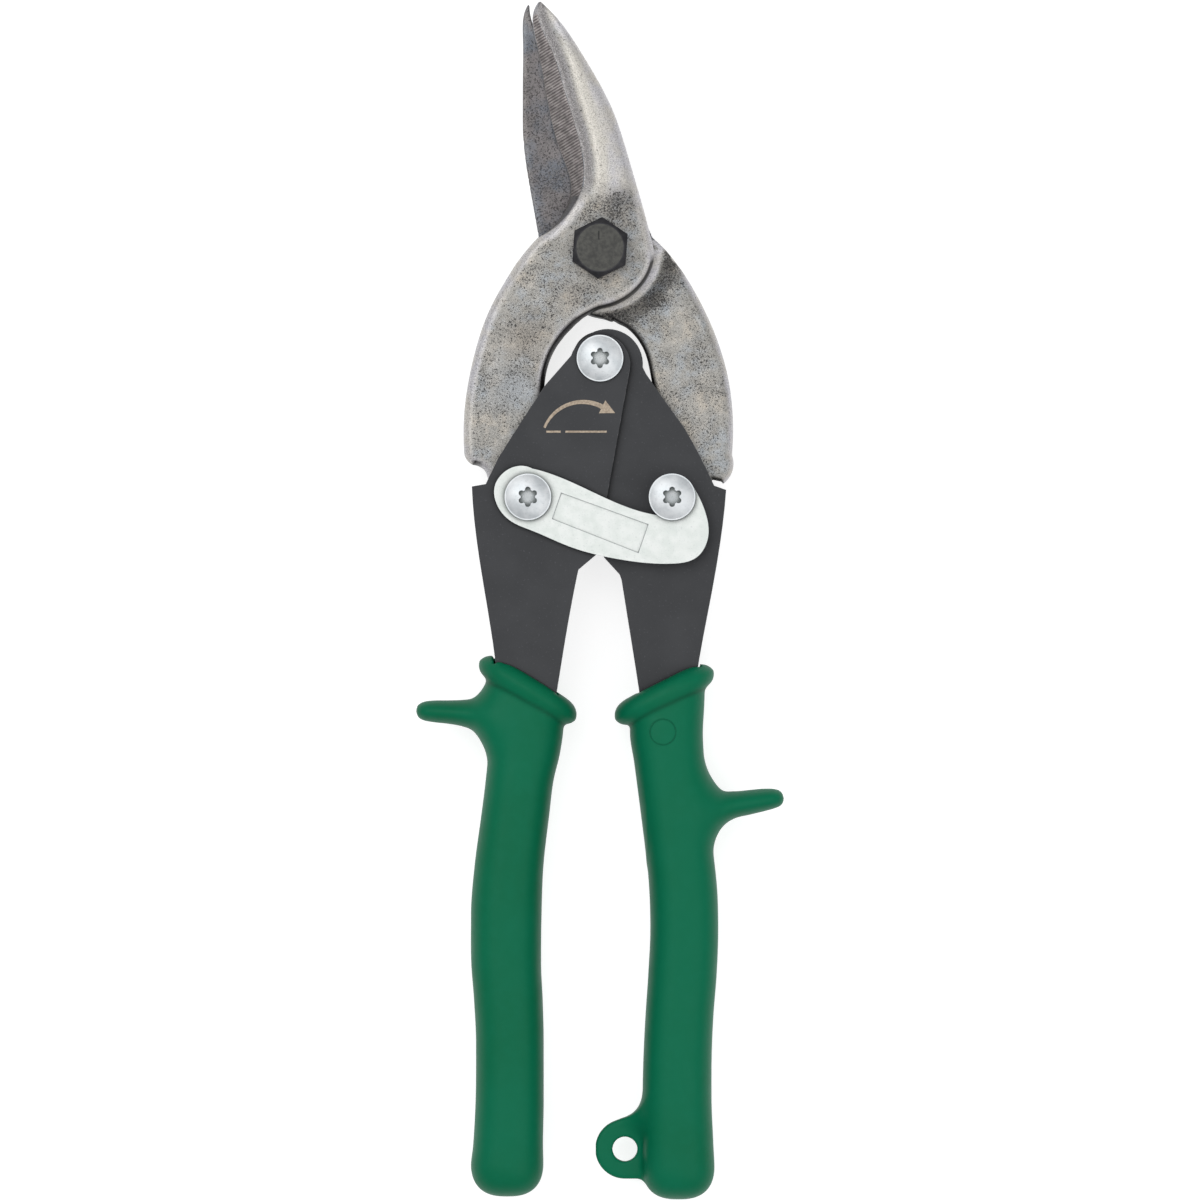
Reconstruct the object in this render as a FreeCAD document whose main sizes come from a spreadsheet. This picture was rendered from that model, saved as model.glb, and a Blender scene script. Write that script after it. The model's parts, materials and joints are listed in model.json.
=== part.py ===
import FreeCAD, Part
import math
import os

import Sketcher
from FreeCAD import Rotation, Vector

# Compound-action aviation snips, lying flat on their back: +X is the tool's right,
# +Y points along the blades, +Z is the direction of every pivot's axis.
# Each piece is drawn in the tool's own frame, whose origin is the main pivot at the
# plane where the two blades slide on each other, and is then placed in the part's frame,
# whose origin is the middle of the footprint.

SIZES = {
    "pivot_forward": 73.25,       # main pivot, ahead of the footprint's centre
    "shear_height": 10.0,         # plane between the blades, above the surface
    "handle_pivot_drop": 22.9,    # handle pivot, behind the main pivot
    "arm_pivot_drop": 51.8,       # the two arm pivots, behind the main pivot
    "arm_pivot_side": 15.0,       # and to each side of it
    "blade_gap": 0.03,            # each blade's inner face, from the shear plane
    "jaw_face": 5.5,              # outer face of a jaw's boss and blade
    "arm_near": 2.5,              # faces of a jaw's arm: the one past the shear plane
    "arm_far": 4.5,               # and the one on the jaw's own side
    "sheet_thick": 1.9,           # steel sheet of the handles
    "inner_flange": 2.65,         # inner face of a handle's two flanges: the nearer one
    "outer_flange": 4.65,         # and the farther one
    "bolt_radius": 3.9,
    "bolt_hole": 3.95,
    "open_pivot_hole": 4.15,      # rear jaw's hole, where the linkage is opened
    "hex_flats": 11.1,            # bolt head and nut, across flats
    "hex_twist": -4.0,
    "bolt_head_height": 5.0,
    "bolt_end": 0.5,              # the bolt's end, inside the nut's face
    "washer_radius": 7.2,
    "washer_thick": 0.8,
    "barrel_radius": 3.0,
    "barrel_hole": 3.05,
    "barrel_bore": 2.05,
    "screw_radius": 2.0,
    "screw_head_radius": 4.85,
    "screw_head_rim": 0.7,
    "screw_head_height": 1.85,
    "torx_lobe_pitch": 1.52,      # lobes of the hexalobular recess
    "torx_lobe_radius": 0.58,
    "torx_core_radius": 1.5,
    "torx_depth": 1.3,
    "latch_bottom": 6.7,
    "latch_thick": 1.8,
    "latch_panel_depth": 0.25,
    "wave_washer_thick": 0.35,
    "wave_washer_radius": 4.4,
    "head_seat": 8.9,             # underside of the two arm screws' heads
    "spacer_radius": 3.0,
    "bushing_inner": 3.1,
    "bushing_outer": 4.1,
    "bushing_half": 2.5,
    "spring_wire": 0.65,          # wire radius
    "spring_coil": 5.1,           # mean radius of the coil
    "spring_pitch": 1.38,
    "spring_turns": 2.48,
    "spring_leg": 25.5,
    "grip_half": 9.2,             # half thickness of a grip
    "collar_half": 10.0,          # half thickness of its collar
    "cavity_gap": 0.1,            # around a handle inside its grip
    "tab_thick": 3.5,
    "hang_hole": 2.6,
}

doc = FreeCAD.newDocument("aviation_snips")
sheet = doc.addObject("Spreadsheet::Sheet", "Sizes")
for row, (alias, value) in enumerate(SIZES.items(), start=1):
    sheet.set("A%d" % row, alias)
    sheet.set("B%d" % row, str(value))
    sheet.setAlias("B%d" % row, alias)
doc.recompute()


def cell(alias):
    """The number that the sheet holds under an alias."""
    return float(sheet.get(alias))


ARM_X = cell("arm_pivot_side")
ARM_Y = -cell("arm_pivot_drop")
HANDLE_Y = -cell("handle_pivot_drop")
PIVOTS = {
    "main": ("0", "0"),
    "handle": ("0", "-Sizes.handle_pivot_drop"),
    "left_arm": ("-Sizes.arm_pivot_side", "-Sizes.arm_pivot_drop"),
    "right_arm": ("Sizes.arm_pivot_side", "-Sizes.arm_pivot_drop"),
}
nodes = []


def settle(piece):
    """Place a piece that is drawn in the tool's frame, and list it as a node."""
    piece.setExpression("Placement.Base.y", "Sizes.pivot_forward")
    piece.setExpression("Placement.Base.z", "Sizes.shear_height")
    nodes.append(piece)


def new_body(name):
    body = doc.addObject("PartDesign::Body", name)
    body.Label = name
    return body


def new_sketch(body, name, level):
    """A sketch parallel to the body's XY plane, at a height given by an expression."""
    base = next(f for f in body.Origin.OriginFeatures if f.Role == "XY_Plane")
    sketch = body.newObject("Sketcher::SketchObject", name)
    sketch.AttachmentSupport = [(base, "")]
    sketch.MapMode = "FlatFace"
    sketch.setExpression("AttachmentOffset.Base.z", level)
    return sketch


def trace(sketch, spans):
    """Close an outline from spans that share their ends: two points are a line,
    three are an arc and more are a smooth curve."""
    for span in spans:
        points = [Vector(x, y, 0) for x, y in span]
        if len(points) == 2:
            curve = Part.LineSegment(*points)
        elif len(points) == 3:
            curve = Part.Arc(*points)
        else:
            curve = Part.BSplineCurve()
            curve.interpolate(points)
        sketch.addGeometry(curve)


def pad(body, name, spans, bottom, top):
    """Extrude an outline between two heights, given as expressions."""
    sketch = new_sketch(body, name + "_outline", bottom)
    trace(sketch, spans)
    feature = body.newObject("PartDesign::Pad", name)
    feature.Profile = sketch
    feature.setExpression("Length", "%s - (%s)" % (top, bottom))
    return feature


def bevelled(body, name, lower, lower_level, upper, upper_level):
    """A block whose wall slopes from one outline to the other."""
    base = new_sketch(body, name + "_base", lower_level)
    trace(base, lower)
    crown = new_sketch(body, name + "_crown", upper_level)
    trace(crown, upper)
    feature = body.newObject("PartDesign::AdditiveLoft", name)
    feature.Profile = base
    feature.Sections = [crown]
    feature.Ruled = True
    return feature


def bore(body, name, pivot, radius):
    """A through hole round one of the tool's pivots."""
    sketch = new_sketch(body, name + "_circle", "0")
    sketch.addGeometry(Part.Circle(Vector(1, 1, 0), Vector(0, 0, 1), cell(radius)))
    sketch.addConstraint(Sketcher.Constraint("Radius", 0, cell(radius)))
    sketch.setExpression("Constraints[0]", "Sizes.%s" % radius)
    sketch.setExpression("AttachmentOffset.Base.x", PIVOTS[pivot][0])
    sketch.setExpression("AttachmentOffset.Base.y", PIVOTS[pivot][1])
    sketch.addConstraint(Sketcher.Constraint("Coincident", 0, 3, -1, 1))
    feature = body.newObject("PartDesign::Pocket", name)
    feature.Profile = sketch
    feature.Type = "ThroughAll"
    feature.SideType = "Symmetric"
    return feature


def around(centre, radius, *angles):
    """Points on a circle, at angles in degrees."""
    turns = [math.radians(a) for a in angles]
    return [(centre[0] + radius * math.cos(t), centre[1] + radius * math.sin(t))
            for t in turns]


# ---- front jaw: upper right blade, round boss, lower left arm ----

FRONT_TIP = (-12.6, 51.9)
FRONT_HEEL = (-12.8, 2.5)
ARM_EYE = 7.0
BOSS_CLEARANCE = 14.0   # the half of an arm beyond the shear plane stays outside this

front_back = [FRONT_TIP, (-8.0, 47.1), (-2.3, 38.5), (2.3, 30.0), (5.9, 19.4),
              (9.0, 8.7), (11.0, 0.9)]
front_boss = [(11.0, 0.9), (10.4, -5.2), (8.0, -8.6), (5.0, -10.9), (0.0, -12.6)]
front_throat = [(0.0, -12.6), (-3.0, -14.2), (-5.8, -16.5), (-8.4, -19.5)]
front_root = [(-8.4, -19.5), (-22.7, -11.9)]
front_shoulder = [(-22.7, -11.9), (-19.7, -6.6), (-17.2, -2.7), (-15.1, 0.0), FRONT_HEEL]
front_edge = [FRONT_HEEL, (-8.1, 6.8), (-6.1, 12.0), (-8.3, 20.3), (-11.3, 32.4),
              (-13.2, 42.5), (-13.6, 50.4), FRONT_TIP]
front_ridge = [FRONT_HEEL, (-7.2, 6.4), (-3.4, 14.1), (-4.0, 21.5), (-7.3, 33.0),
               (-10.1, 41.7), (-12.9, 49.6), FRONT_TIP]
front_arm = [
    around((0, 0), BOSS_CLEARANCE, 190, 220, 250),
    [around((0, 0), BOSS_CLEARANCE, 250)[0], (-5.8, -16.5)],
    [(-5.8, -16.5), (-8.4, -19.5), (-10.1, -22.5), (-11.1, -25.6), (-11.6, -30.0),
     (-11.3, -38.0), (-9.64, -47.3)],
    [(-9.64, -47.3)] + around((-ARM_X, ARM_Y), ARM_EYE, -80, 180),
    [(-ARM_X - ARM_EYE, ARM_Y), (-23.5, -47.6)],
    [(-23.5, -47.6), (-24.3, -46.0), (-26.1, -45.2)],
    [(-26.1, -45.2), (-27.6, -44.3), (-28.4, -42.0)],
    [(-28.4, -42.0), (-28.4, -35.1), (-26.1, -21.5), (-22.7, -11.9), (-19.7, -6.6),
     (-17.2, -2.7)],
    [(-17.2, -2.7), around((0, 0), BOSS_CLEARANCE, 190)[0]],
]

front_jaw = new_body("front_jaw")
bevelled(front_jaw, "front_blade",
         [front_back, front_boss, front_throat, front_root, front_shoulder, front_edge],
         "Sizes.blade_gap",
         [front_back, front_boss, front_throat, front_root, front_shoulder, front_ridge],
         "Sizes.jaw_face")
pad(front_jaw, "front_arm", front_arm, "-Sizes.arm_near", "Sizes.arm_far")
bore(front_jaw, "front_main_hole", "main", "bolt_hole")
bore(front_jaw, "front_arm_hole", "left_arm", "barrel_hole")
settle(front_jaw)

# ---- rear jaw: upper left blade, boss behind the first, lower right arm ----

REAR_TIP = (-14.7, 51.7)
rear_back = [(-12.8, 2.5), (-14.5, 12.0), (-15.9, 21.5), (-16.2, 33.0), (-16.1, 44.0),
             (-15.7, 49.8), REAR_TIP]
rear_edge = [REAR_TIP, (-14.5, 48.7), (-12.9, 44.0), (-10.6, 34.0), (-8.6, 26.0),
             (-6.0, 18.0), (-4.8, 13.0)]
rear_ridge = [REAR_TIP, (-15.2, 48.7), (-14.6, 44.0), (-13.4, 34.0), (-11.6, 26.0),
              (-9.4, 18.0), (-4.8, 13.0)]
rear_heel = [(-4.8, 13.0), (3.5, 11.2), (10.9, 2.5)]
rear_shoulder = [(10.9, 2.5), (15.7, -2.5), (19.3, -8.0), (23.0, -15.2)]
rear_root = [(23.0, -15.2), (7.5, -19.1)]
rear_throat = [(7.5, -19.1), (3.8, -15.9), (1.0, -14.7), (-1.5, -14.1), (-4.5, -12.1)]
rear_boss = [(-4.5, -12.1), (-10.1, -8.0), (-12.8, 2.5)]
rear_arm = [
    around((0, 0), BOSS_CLEARANCE, -8, -45, -84),
    [around((0, 0), BOSS_CLEARANCE, -84)[0], (3.8, -15.9)],
    [(3.8, -15.9), (7.5, -19.1), (9.2, -22.5), (10.0, -26.0), (10.7, -30.0),
     (11.1, -38.0), (9.64, -47.3)],
    [(9.64, -47.3)] + around((ARM_X, ARM_Y), ARM_EYE, -100, 0),
    [(ARM_X + ARM_EYE, ARM_Y), (23.3, -48.6)],
    [(23.3, -48.6), (25.6, -49.1)],
    [(25.6, -49.1), (26.8, -48.0), (27.6, -43.0)],
    [(27.6, -43.0), (27.8, -35.9), (26.6, -26.0), (23.0, -15.2), (19.3, -8.0),
     (15.7, -2.5)],
    [(15.7, -2.5), around((0, 0), BOSS_CLEARANCE, -8)[0]],
]

rear_jaw = new_body("rear_jaw")
bevelled(rear_jaw, "rear_blade",
         [rear_back, rear_ridge, rear_heel, rear_shoulder, rear_root, rear_throat, rear_boss],
         "-Sizes.jaw_face",
         [rear_back, rear_edge, rear_heel, rear_shoulder, rear_root, rear_throat, rear_boss],
         "-Sizes.blade_gap")
pad(rear_jaw, "rear_arm", rear_arm, "-Sizes.arm_far", "Sizes.arm_near")
bore(rear_jaw, "rear_main_hole", "main", "open_pivot_hole")
bore(rear_jaw, "rear_arm_hole", "right_arm", "barrel_hole")
settle(rear_jaw)

# ---- handles: folded sheet channels, open towards the middle of the tool ----

# Round ends of the flanges at the handle pivot. They sit a little below its axis.
LEFT_EYE, LEFT_EYE_CENTRE = 6.3, (0, -24.2)
RIGHT_EYE, RIGHT_EYE_CENTRE = 7.35, (1.6, -24.1)
WEB_TOP = -52.0
left_outer = [(-26.7, -49.6), (-25.1, -64.9), (-21.9, -85.1), (-20.8, -100.0),
              (-21.8, -118.0), (-23.5, -140.0), (-23.2, -165.0)]
left_inner = [(-14.4, -165.0), (-14.7, -150.0), (-13.6, -123.0), (-9.6, -96.0),
              (-6.2, -75.4), (-4.8, -68.2)]
right_outer = [(26.3, -50.3), (25.1, -61.1), (23.0, -73.3), (20.3, -88.0),
               (19.0, -102.0), (20.6, -125.0), (21.6, -142.0), (20.6, -165.0)]
right_inner = [(12.2, -165.0), (12.9, -150.0), (11.9, -123.0), (8.6, -95.0),
               (5.5, -75.3), (4.5, -69.0)]
left_flange = [
    left_outer,
    [left_outer[-1], left_inner[0]],
    left_inner,
    [left_inner[-1], (-4.5, -66.9)],
    [(-4.5, -66.9), (-0.7, -63.7)],
    [(-0.7, -63.7), around(LEFT_EYE_CENTRE, LEFT_EYE, -11)[0]],
    around(LEFT_EYE_CENTRE, LEFT_EYE, -11, 80, 163),
    [around(LEFT_EYE_CENTRE, LEFT_EYE, 163)[0], (-11.4, -28.5)],
    [(-11.4, -28.5), (-16.2, -35.8), (-21.2, -43.7)],
    [(-21.2, -43.7), (-23.8, -49.1)],
    [(-23.8, -49.1), left_outer[0]],
]
right_flange = [
    right_outer,
    [right_outer[-1], right_inner[0]],
    right_inner,
    [right_inner[-1], (4.1, -67.9)],
    [(4.1, -67.9), (0.8, -64.3)],
    [(0.8, -64.3), around(RIGHT_EYE_CENTRE, RIGHT_EYE, 206)[0]],
    around(RIGHT_EYE_CENTRE, RIGHT_EYE, 206, 100, -5),
    [around(RIGHT_EYE_CENTRE, RIGHT_EYE, -5)[0], (9.6, -26.1)],
    [(9.6, -26.1), (13.5, -31.7), (17.4, -37.1)],
    [(17.4, -37.1), (20.8, -43.2), (23.8, -49.4)],
    [(23.8, -49.4), right_outer[0]],
]


def web(outer, inward):
    """Section of a channel's back: a strip as thick as the sheet along the outer edge."""
    shift = inward * cell("sheet_thick")
    back = [(x + shift, y) for x, y in reversed(outer)]
    return [outer, [outer[-1], back[0]], back, [back[-1], outer[0]]]


def handle(name, outline, outer, inward, low, high, arm):
    """One handle: two flanges on each side of its jaw's arm, joined by a web."""
    body = new_body(name)
    near = "Sizes.%s" % low
    far = "Sizes.%s" % high
    pad(body, name + "_rear_flange", outline,
        "-%s - Sizes.sheet_thick" % near, "-%s" % near)
    pad(body, name + "_web", web(outer, inward),
        "-%s - Sizes.sheet_thick" % near, "%s + Sizes.sheet_thick" % far)
    pad(body, name + "_front_flange", outline, far, "%s + Sizes.sheet_thick" % far)
    window = new_sketch(body, name + "_window_outline", far)
    left, right = sorted((outer[0][0] - 5 * inward, outer[0][0] + 5 * inward))
    corners = [(left, WEB_TOP), (right, WEB_TOP), (right, ARM_Y + 10), (left, ARM_Y + 10)]
    trace(window, [[corner, corners[(i + 1) % 4]] for i, corner in enumerate(corners)])
    opening = body.newObject("PartDesign::Pocket", name + "_window")
    opening.Profile = window
    opening.setExpression("Length", "%s + %s" % (far, near))
    bore(body, name + "_pivot_hole", "handle", "barrel_hole")
    bore(body, name + "_arm_hole", arm, "barrel_hole")
    settle(body)


handle("left_handle", left_flange, left_outer, 1, "inner_flange", "outer_flange", "left_arm")
handle("right_handle", right_flange, right_outer, -1, "outer_flange", "inner_flange",
       "right_arm")

# ---- latch: a stamped plate that hooks round the right arm's screw ----

HOOK_RADIUS = 4.75     # notch round the right arm's spacer

latch_outline = [
    [(-14.1, -45.9), (-19.3, -46.2), (-21.9, -49.6), (-21.3, -53.7), (-18.6, -56.8),
     (-14.2, -58.8), (-6.7, -62.0), (4.1, -64.8), (14.7, -65.7), (20.2, -64.3),
     (22.4, -60.6), (22.1, -55.6), (19.5, -49.8)],
    [(19.5, -49.8), around((ARM_X, ARM_Y), HOOK_RADIUS, 35)[0]],
    around((ARM_X, ARM_Y), HOOK_RADIUS, 35, -45, -126),
    [around((ARM_X, ARM_Y), HOOK_RADIUS, -126)[0], (8.3, -54.8), (-6.7, -48.4),
     (-14.1, -45.9)],
]
PANEL = [(-8.1, -50.9), (10.1, -57.5), (8.0, -63.5), (-10.0, -56.4)]
panel_outline = [[corner, PANEL[(i + 1) % 4]] for i, corner in enumerate(PANEL)]

latch = new_body("latch")
pad(latch, "latch_plate", latch_outline, "Sizes.latch_bottom",
    "Sizes.latch_bottom + Sizes.latch_thick")
bore(latch, "latch_eye", "left_arm", "barrel_hole")
panel = new_sketch(latch, "latch_panel_outline", "Sizes.latch_bottom + Sizes.latch_thick")
trace(panel, panel_outline)
stamp = latch.newObject("PartDesign::Pocket", "latch_panel")
stamp.Profile = panel
stamp.setExpression("Length", "Sizes.latch_panel_depth")
settle(latch)


# ---- round pieces and fasteners, on the pivots' axes ----

def shift(piece, pivot, level, x="0", y="0"):
    """Stand a primitive on a pivot's axis, at a height given by an expression."""
    piece.setExpression("Placement.Base.x", "%s + %s" % (PIVOTS[pivot][0], x))
    piece.setExpression("Placement.Base.y", "%s + %s" % (PIVOTS[pivot][1], y))
    piece.setExpression("Placement.Base.z", level)


def rod(name, pivot, radius, bottom, top, x="0", y="0"):
    piece = doc.addObject("Part::Cylinder", name)
    piece.setExpression("Radius", radius)
    piece.setExpression("Height", "%s - (%s)" % (top, bottom))
    shift(piece, pivot, bottom, x, y)
    return piece


def join(name, pieces):
    piece = doc.addObject("Part::MultiFuse", name)
    piece.Shapes = pieces
    piece.Label = name
    return piece


def cut(name, base, tool):
    piece = doc.addObject("Part::Cut", name)
    piece.Base = base
    piece.Tool = tool
    piece.Label = name
    return piece


def common(name, first, second):
    piece = doc.addObject("Part::MultiCommon", name)
    piece.Shapes = [first, second]
    return piece


def ring(name, pivot, outer, inner, bottom, top):
    piece = cut(name, rod(name + "_disc", pivot, outer, bottom, top),
                rod(name + "_hole", pivot, inner, bottom, top))
    settle(piece)


def hexagon(name, bottom, height, chamfer_up):
    """A hexagon whose corners are chamfered on the face that shows."""
    prism = doc.addObject("Part::Prism", name + "_hexagon")
    prism.Polygon = 6
    prism.setExpression("Circumradius", "Sizes.hex_flats / sqrt(3)")
    prism.setExpression("Height", height)
    prism.Placement.Rotation = Rotation(Vector(0, 0, 1), 30 + cell("hex_twist"))
    shift(prism, "main", bottom)
    cone = doc.addObject("Part::Cone", name + "_chamfer")
    narrow = "Sizes.hex_flats * 0.46"
    wide = "Sizes.hex_flats * 0.46 + (%s) * sqrt(3)" % height
    cone.setExpression("Radius1", wide if chamfer_up else narrow)
    cone.setExpression("Radius2", narrow if chamfer_up else wide)
    cone.setExpression("Height", height)
    shift(cone, "main", bottom)
    return common(name + "_faced", prism, cone)


BOLT_FOOT = "Sizes.bolt_end - Sizes.shear_height"
WASHER_TOP = "-Sizes.jaw_face - 0.05"
WASHER_FOOT = "-Sizes.jaw_face - 0.05 - Sizes.washer_thick"
NUT_FOOT = "-Sizes.shear_height"

bolt_head = hexagon("bolt_head", "Sizes.jaw_face + 0.05", "Sizes.bolt_head_height", True)
bolt_shank = rod("bolt_shank", "main", "Sizes.bolt_radius", BOLT_FOOT, "Sizes.jaw_face + 0.05")
settle(join("pivot_bolt", [bolt_head, bolt_shank]))
ring("pivot_washer", "main", "Sizes.washer_radius", "Sizes.bolt_hole", WASHER_FOOT, WASHER_TOP)
nut_height = "%s - (%s)" % (WASHER_FOOT, NUT_FOOT)
nut_body = hexagon("nut", NUT_FOOT, nut_height, False)
nut_hole = rod("nut_hole", "main", "Sizes.bolt_hole", NUT_FOOT, WASHER_FOOT)
settle(cut("pivot_nut", nut_body, nut_hole))


def torx_screw(name, pivot, seat, foot):
    """A flanged, domed screw with a six-lobed recess, its head seated at a height."""
    crown = "%s + Sizes.screw_head_height" % seat
    floor = "%s - Sizes.torx_depth" % crown
    rise = "(Sizes.screw_head_height - Sizes.screw_head_rim)"
    dome_radius = "((Sizes.screw_head_radius * 0.95)^2 + %s^2) / (2 * %s)" % (rise, rise)
    rim = rod(name + "_rim", pivot, "Sizes.screw_head_radius", seat,
              "%s + Sizes.screw_head_rim" % seat)
    block = rod(name + "_block", pivot, "Sizes.screw_head_radius * 0.95", seat, crown)
    ball = doc.addObject("Part::Sphere", name + "_ball")
    ball.setExpression("Radius", dome_radius)
    shift(ball, pivot, "%s - %s" % (crown, dome_radius))
    shank = rod(name + "_shank", pivot, "Sizes.screw_radius", foot, seat)
    solid = join(name + "_solid", [rim, common(name + "_dome", block, ball), shank])
    lobes = [rod(name + "_core", pivot, "Sizes.torx_core_radius", floor, crown)]
    for i in range(6):
        turn = 90 + 60 * i
        lobes.append(rod("%s_lobe%d" % (name, i), pivot, "Sizes.torx_lobe_radius",
                         floor, crown, "Sizes.torx_lobe_pitch * cos(%d deg)" % turn,
                         "Sizes.torx_lobe_pitch * sin(%d deg)" % turn))
    settle(cut(name, solid, join(name + "_recess", lobes)))


def barrel(name, pivot, back, front):
    """A barrel nut: a round head behind the handles and a sleeve through them."""
    head = rod(name + "_head", pivot, "Sizes.screw_head_radius",
               "%s - Sizes.screw_head_height" % back, back)
    sleeve = rod(name + "_sleeve", pivot, "Sizes.barrel_radius", back, front)
    hole = rod(name + "_bore", pivot, "Sizes.barrel_bore", "%s + 0.5" % back, front)
    settle(cut(name, join(name + "_solid", [head, sleeve]), hole))


NEAR_BACK = "-Sizes.inner_flange - Sizes.sheet_thick"
FAR_BACK = "-Sizes.outer_flange - Sizes.sheet_thick"
NEAR_TOP = "Sizes.inner_flange + Sizes.sheet_thick"
FAR_TOP = "Sizes.outer_flange + Sizes.sheet_thick"

torx_screw("handle_pivot_screw", "handle", "%s + 0.05" % FAR_TOP, "%s + 1" % FAR_BACK)
barrel("handle_pivot_barrel", "handle", "%s - 0.05" % FAR_BACK, FAR_TOP)
torx_screw("left_arm_screw", "left_arm", "Sizes.head_seat", "%s + 1" % NEAR_BACK)
barrel("left_arm_barrel", "left_arm", "%s - 0.05" % NEAR_BACK, "Sizes.head_seat - 0.05")
torx_screw("right_arm_screw", "right_arm", "Sizes.head_seat", "%s + 1" % FAR_BACK)
barrel("right_arm_barrel", "right_arm", "%s - 0.05" % FAR_BACK, NEAR_TOP)
ring("right_spacer_washer", "right_arm", "Sizes.spacer_radius", "Sizes.barrel_bore",
     "%s + 0.05" % NEAR_TOP, "Sizes.head_seat - 0.05")
ring("latch_wave_washer", "left_arm", "Sizes.wave_washer_radius", "Sizes.barrel_hole",
     "Sizes.head_seat - 0.03 - Sizes.wave_washer_thick", "Sizes.head_seat - 0.03")
ring("spring_bushing", "handle", "Sizes.bushing_outer", "Sizes.bushing_inner",
     "-Sizes.bushing_half", "Sizes.bushing_half")

# ---- return spring: a torsion coil round the bushing, a leg against each arm ----

coil_height = cell("spring_pitch") * cell("spring_turns")
half_rise = "Sizes.spring_pitch * Sizes.spring_turns / 2"
start_angle = 180 * (2.5 - cell("spring_turns"))
coil_start = around((0, HANDLE_Y), cell("spring_coil"), start_angle)[0]

spine = Part.makeHelix(cell("spring_pitch"), coil_height, cell("spring_coil"))
spine.rotate(Vector(0, 0, 0), Vector(0, 0, 1), start_angle)
spine.translate(Vector(0, HANDLE_Y, -coil_height / 2))
section = Part.Circle(Vector(coil_start[0], coil_start[1], -coil_height / 2),
                      Vector(0, 1, 0), cell("spring_wire"))
coil = doc.addObject("Part::Feature", "spring_coil")
coil.Shape = Part.Wire(spine.Edges).makePipeShell([Part.Wire([section.toShape()])], True, True)


def leg(name, angle, turn, level):
    """A straight leg that leaves the coil at an angle and runs to the jaw's arm."""
    piece = doc.addObject("Part::Cylinder", name)
    piece.setExpression("Radius", "Sizes.spring_wire")
    piece.setExpression("Height", "Sizes.spring_leg")
    root = around((0, HANDLE_Y), cell("spring_coil"), angle)[0]
    piece.Placement.Rotation = Rotation(Vector(0, 0, 1), turn) * Rotation(Vector(1, 0, 0), 90)
    piece.setExpression("Placement.Base.x", "%.4f" % root[0])
    piece.setExpression("Placement.Base.y", "%.4f" % root[1])
    piece.setExpression("Placement.Base.z", level)
    return piece


right_leg = leg("spring_right_leg", start_angle, start_angle, "-%s" % half_rise)
left_leg = leg("spring_left_leg", 180 - start_angle, -start_angle, half_rise)
spring = doc.addObject("Part::Compound", "return_spring")
spring.Label = "return_spring"
spring.Links = [coil, right_leg, left_leg]
settle(spring)

# ---- grips: moulded over the handles' ends ----

UPRIGHT = Rotation(Vector(1, 1, 1), 240)      # an ellipse across Y, its long axis along Z
SIDEWAYS = Rotation(Vector(0, 1, 0), -90)     # an ellipse across X, its long axis along Z

left_body = [   # along Y: left side, right side, half thickness
    (-90.0, -23.4, -8.6, 8.6), (-97.0, -23.6, -7.4, 9.0), (-105.0, -23.5, -8.3, 9.2),
    (-118.0, -24.8, -10.6, 9.2), (-134.0, -26.7, -12.1, 9.2), (-147.0, -27.0, -12.3, 9.2),
    (-162.0, -26.0, -11.8, 9.2), (-181.0, -26.1, -11.8, 9.2), (-190.0, -26.9, -11.9, 9.0),
    (-194.5, -26.2, -13.4, 7.8), (-197.0, -23.6, -16.0, 5.2), (-197.8, -21.4, -18.4, 2.5)]
right_body = [
    (-90.0, 8.4, 22.2, 8.6), (-97.0, 6.4, 21.8, 9.0), (-106.0, 7.0, 21.6, 9.2),
    (-118.0, 8.6, 22.7, 9.2), (-128.0, 9.8, 24.0, 9.2), (-142.0, 10.5, 24.7, 9.2),
    (-158.0, 9.7, 23.8, 9.2), (-172.0, 9.0, 23.3, 9.2), (-184.0, 8.9, 23.6, 9.2),
    (-191.0, 9.0, 23.9, 9.0), (-195.5, 10.6, 23.1, 7.6), (-197.6, 13.4, 20.6, 5.0),
    (-198.4, 15.6, 18.6, 2.5)]
left_stop = [   # along X: middle, half height, half thickness
    (-17.0, -98.0, 7.0, 8.0), (-22.0, -97.6, 5.8, 7.2), (-25.5, -97.2, 3.6, 6.0),
    (-30.0, -96.8, 2.55, 5.2), (-35.5, -96.5, 2.2, 4.6), (-37.6, -96.4, 1.5, 3.4),
    (-38.4, -96.4, 0.6, 1.6)]
right_stop = [
    (16.0, -116.5, 7.6, 8.0), (21.5, -116.6, 6.6, 7.2), (25.0, -116.7, 3.9, 6.0),
    (29.5, -115.8, 2.9, 5.2), (35.0, -114.8, 2.25, 4.6), (37.6, -114.6, 1.6, 3.4),
    (38.4, -114.6, 0.7, 1.6)]
tab_outline = [
    [(13.0, -192.0), (5.4, -193.9), (0.5, -192.3), (-0.9, -188.2), (0.9, -183.4),
     (5.0, -181.4), (9.0, -179.4), (13.0, -176.0)],
    [(13.0, -176.0), (13.0, -192.0)],
]


def ellipse(name, long_half, short_half, turn, place):
    curve = doc.addObject("Part::Ellipse", name)
    curve.setExpression("MajorRadius", long_half)
    curve.setExpression("MinorRadius", short_half)
    curve.Placement.Rotation = turn
    curve.Placement.Base = Vector(*place)
    return curve


def loft(name, sections):
    piece = doc.addObject("Part::Loft", name)
    piece.Sections = sections
    piece.Solid = True
    return piece


def depth(half):
    """A section's half thickness, as a share of the grip's."""
    return "Sizes.grip_half * %.3f" % (half / SIZES["grip_half"])


def stem(name, stations):
    """A grip's long body, through ellipses that stand across the handle."""
    return loft(name, [
        ellipse("%s_%d" % (name, i), depth(half), "%.2f" % ((right - left) / 2), UPRIGHT,
                ((left + right) / 2, y, 0))
        for i, (y, left, right, half) in enumerate(stations)])


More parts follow.
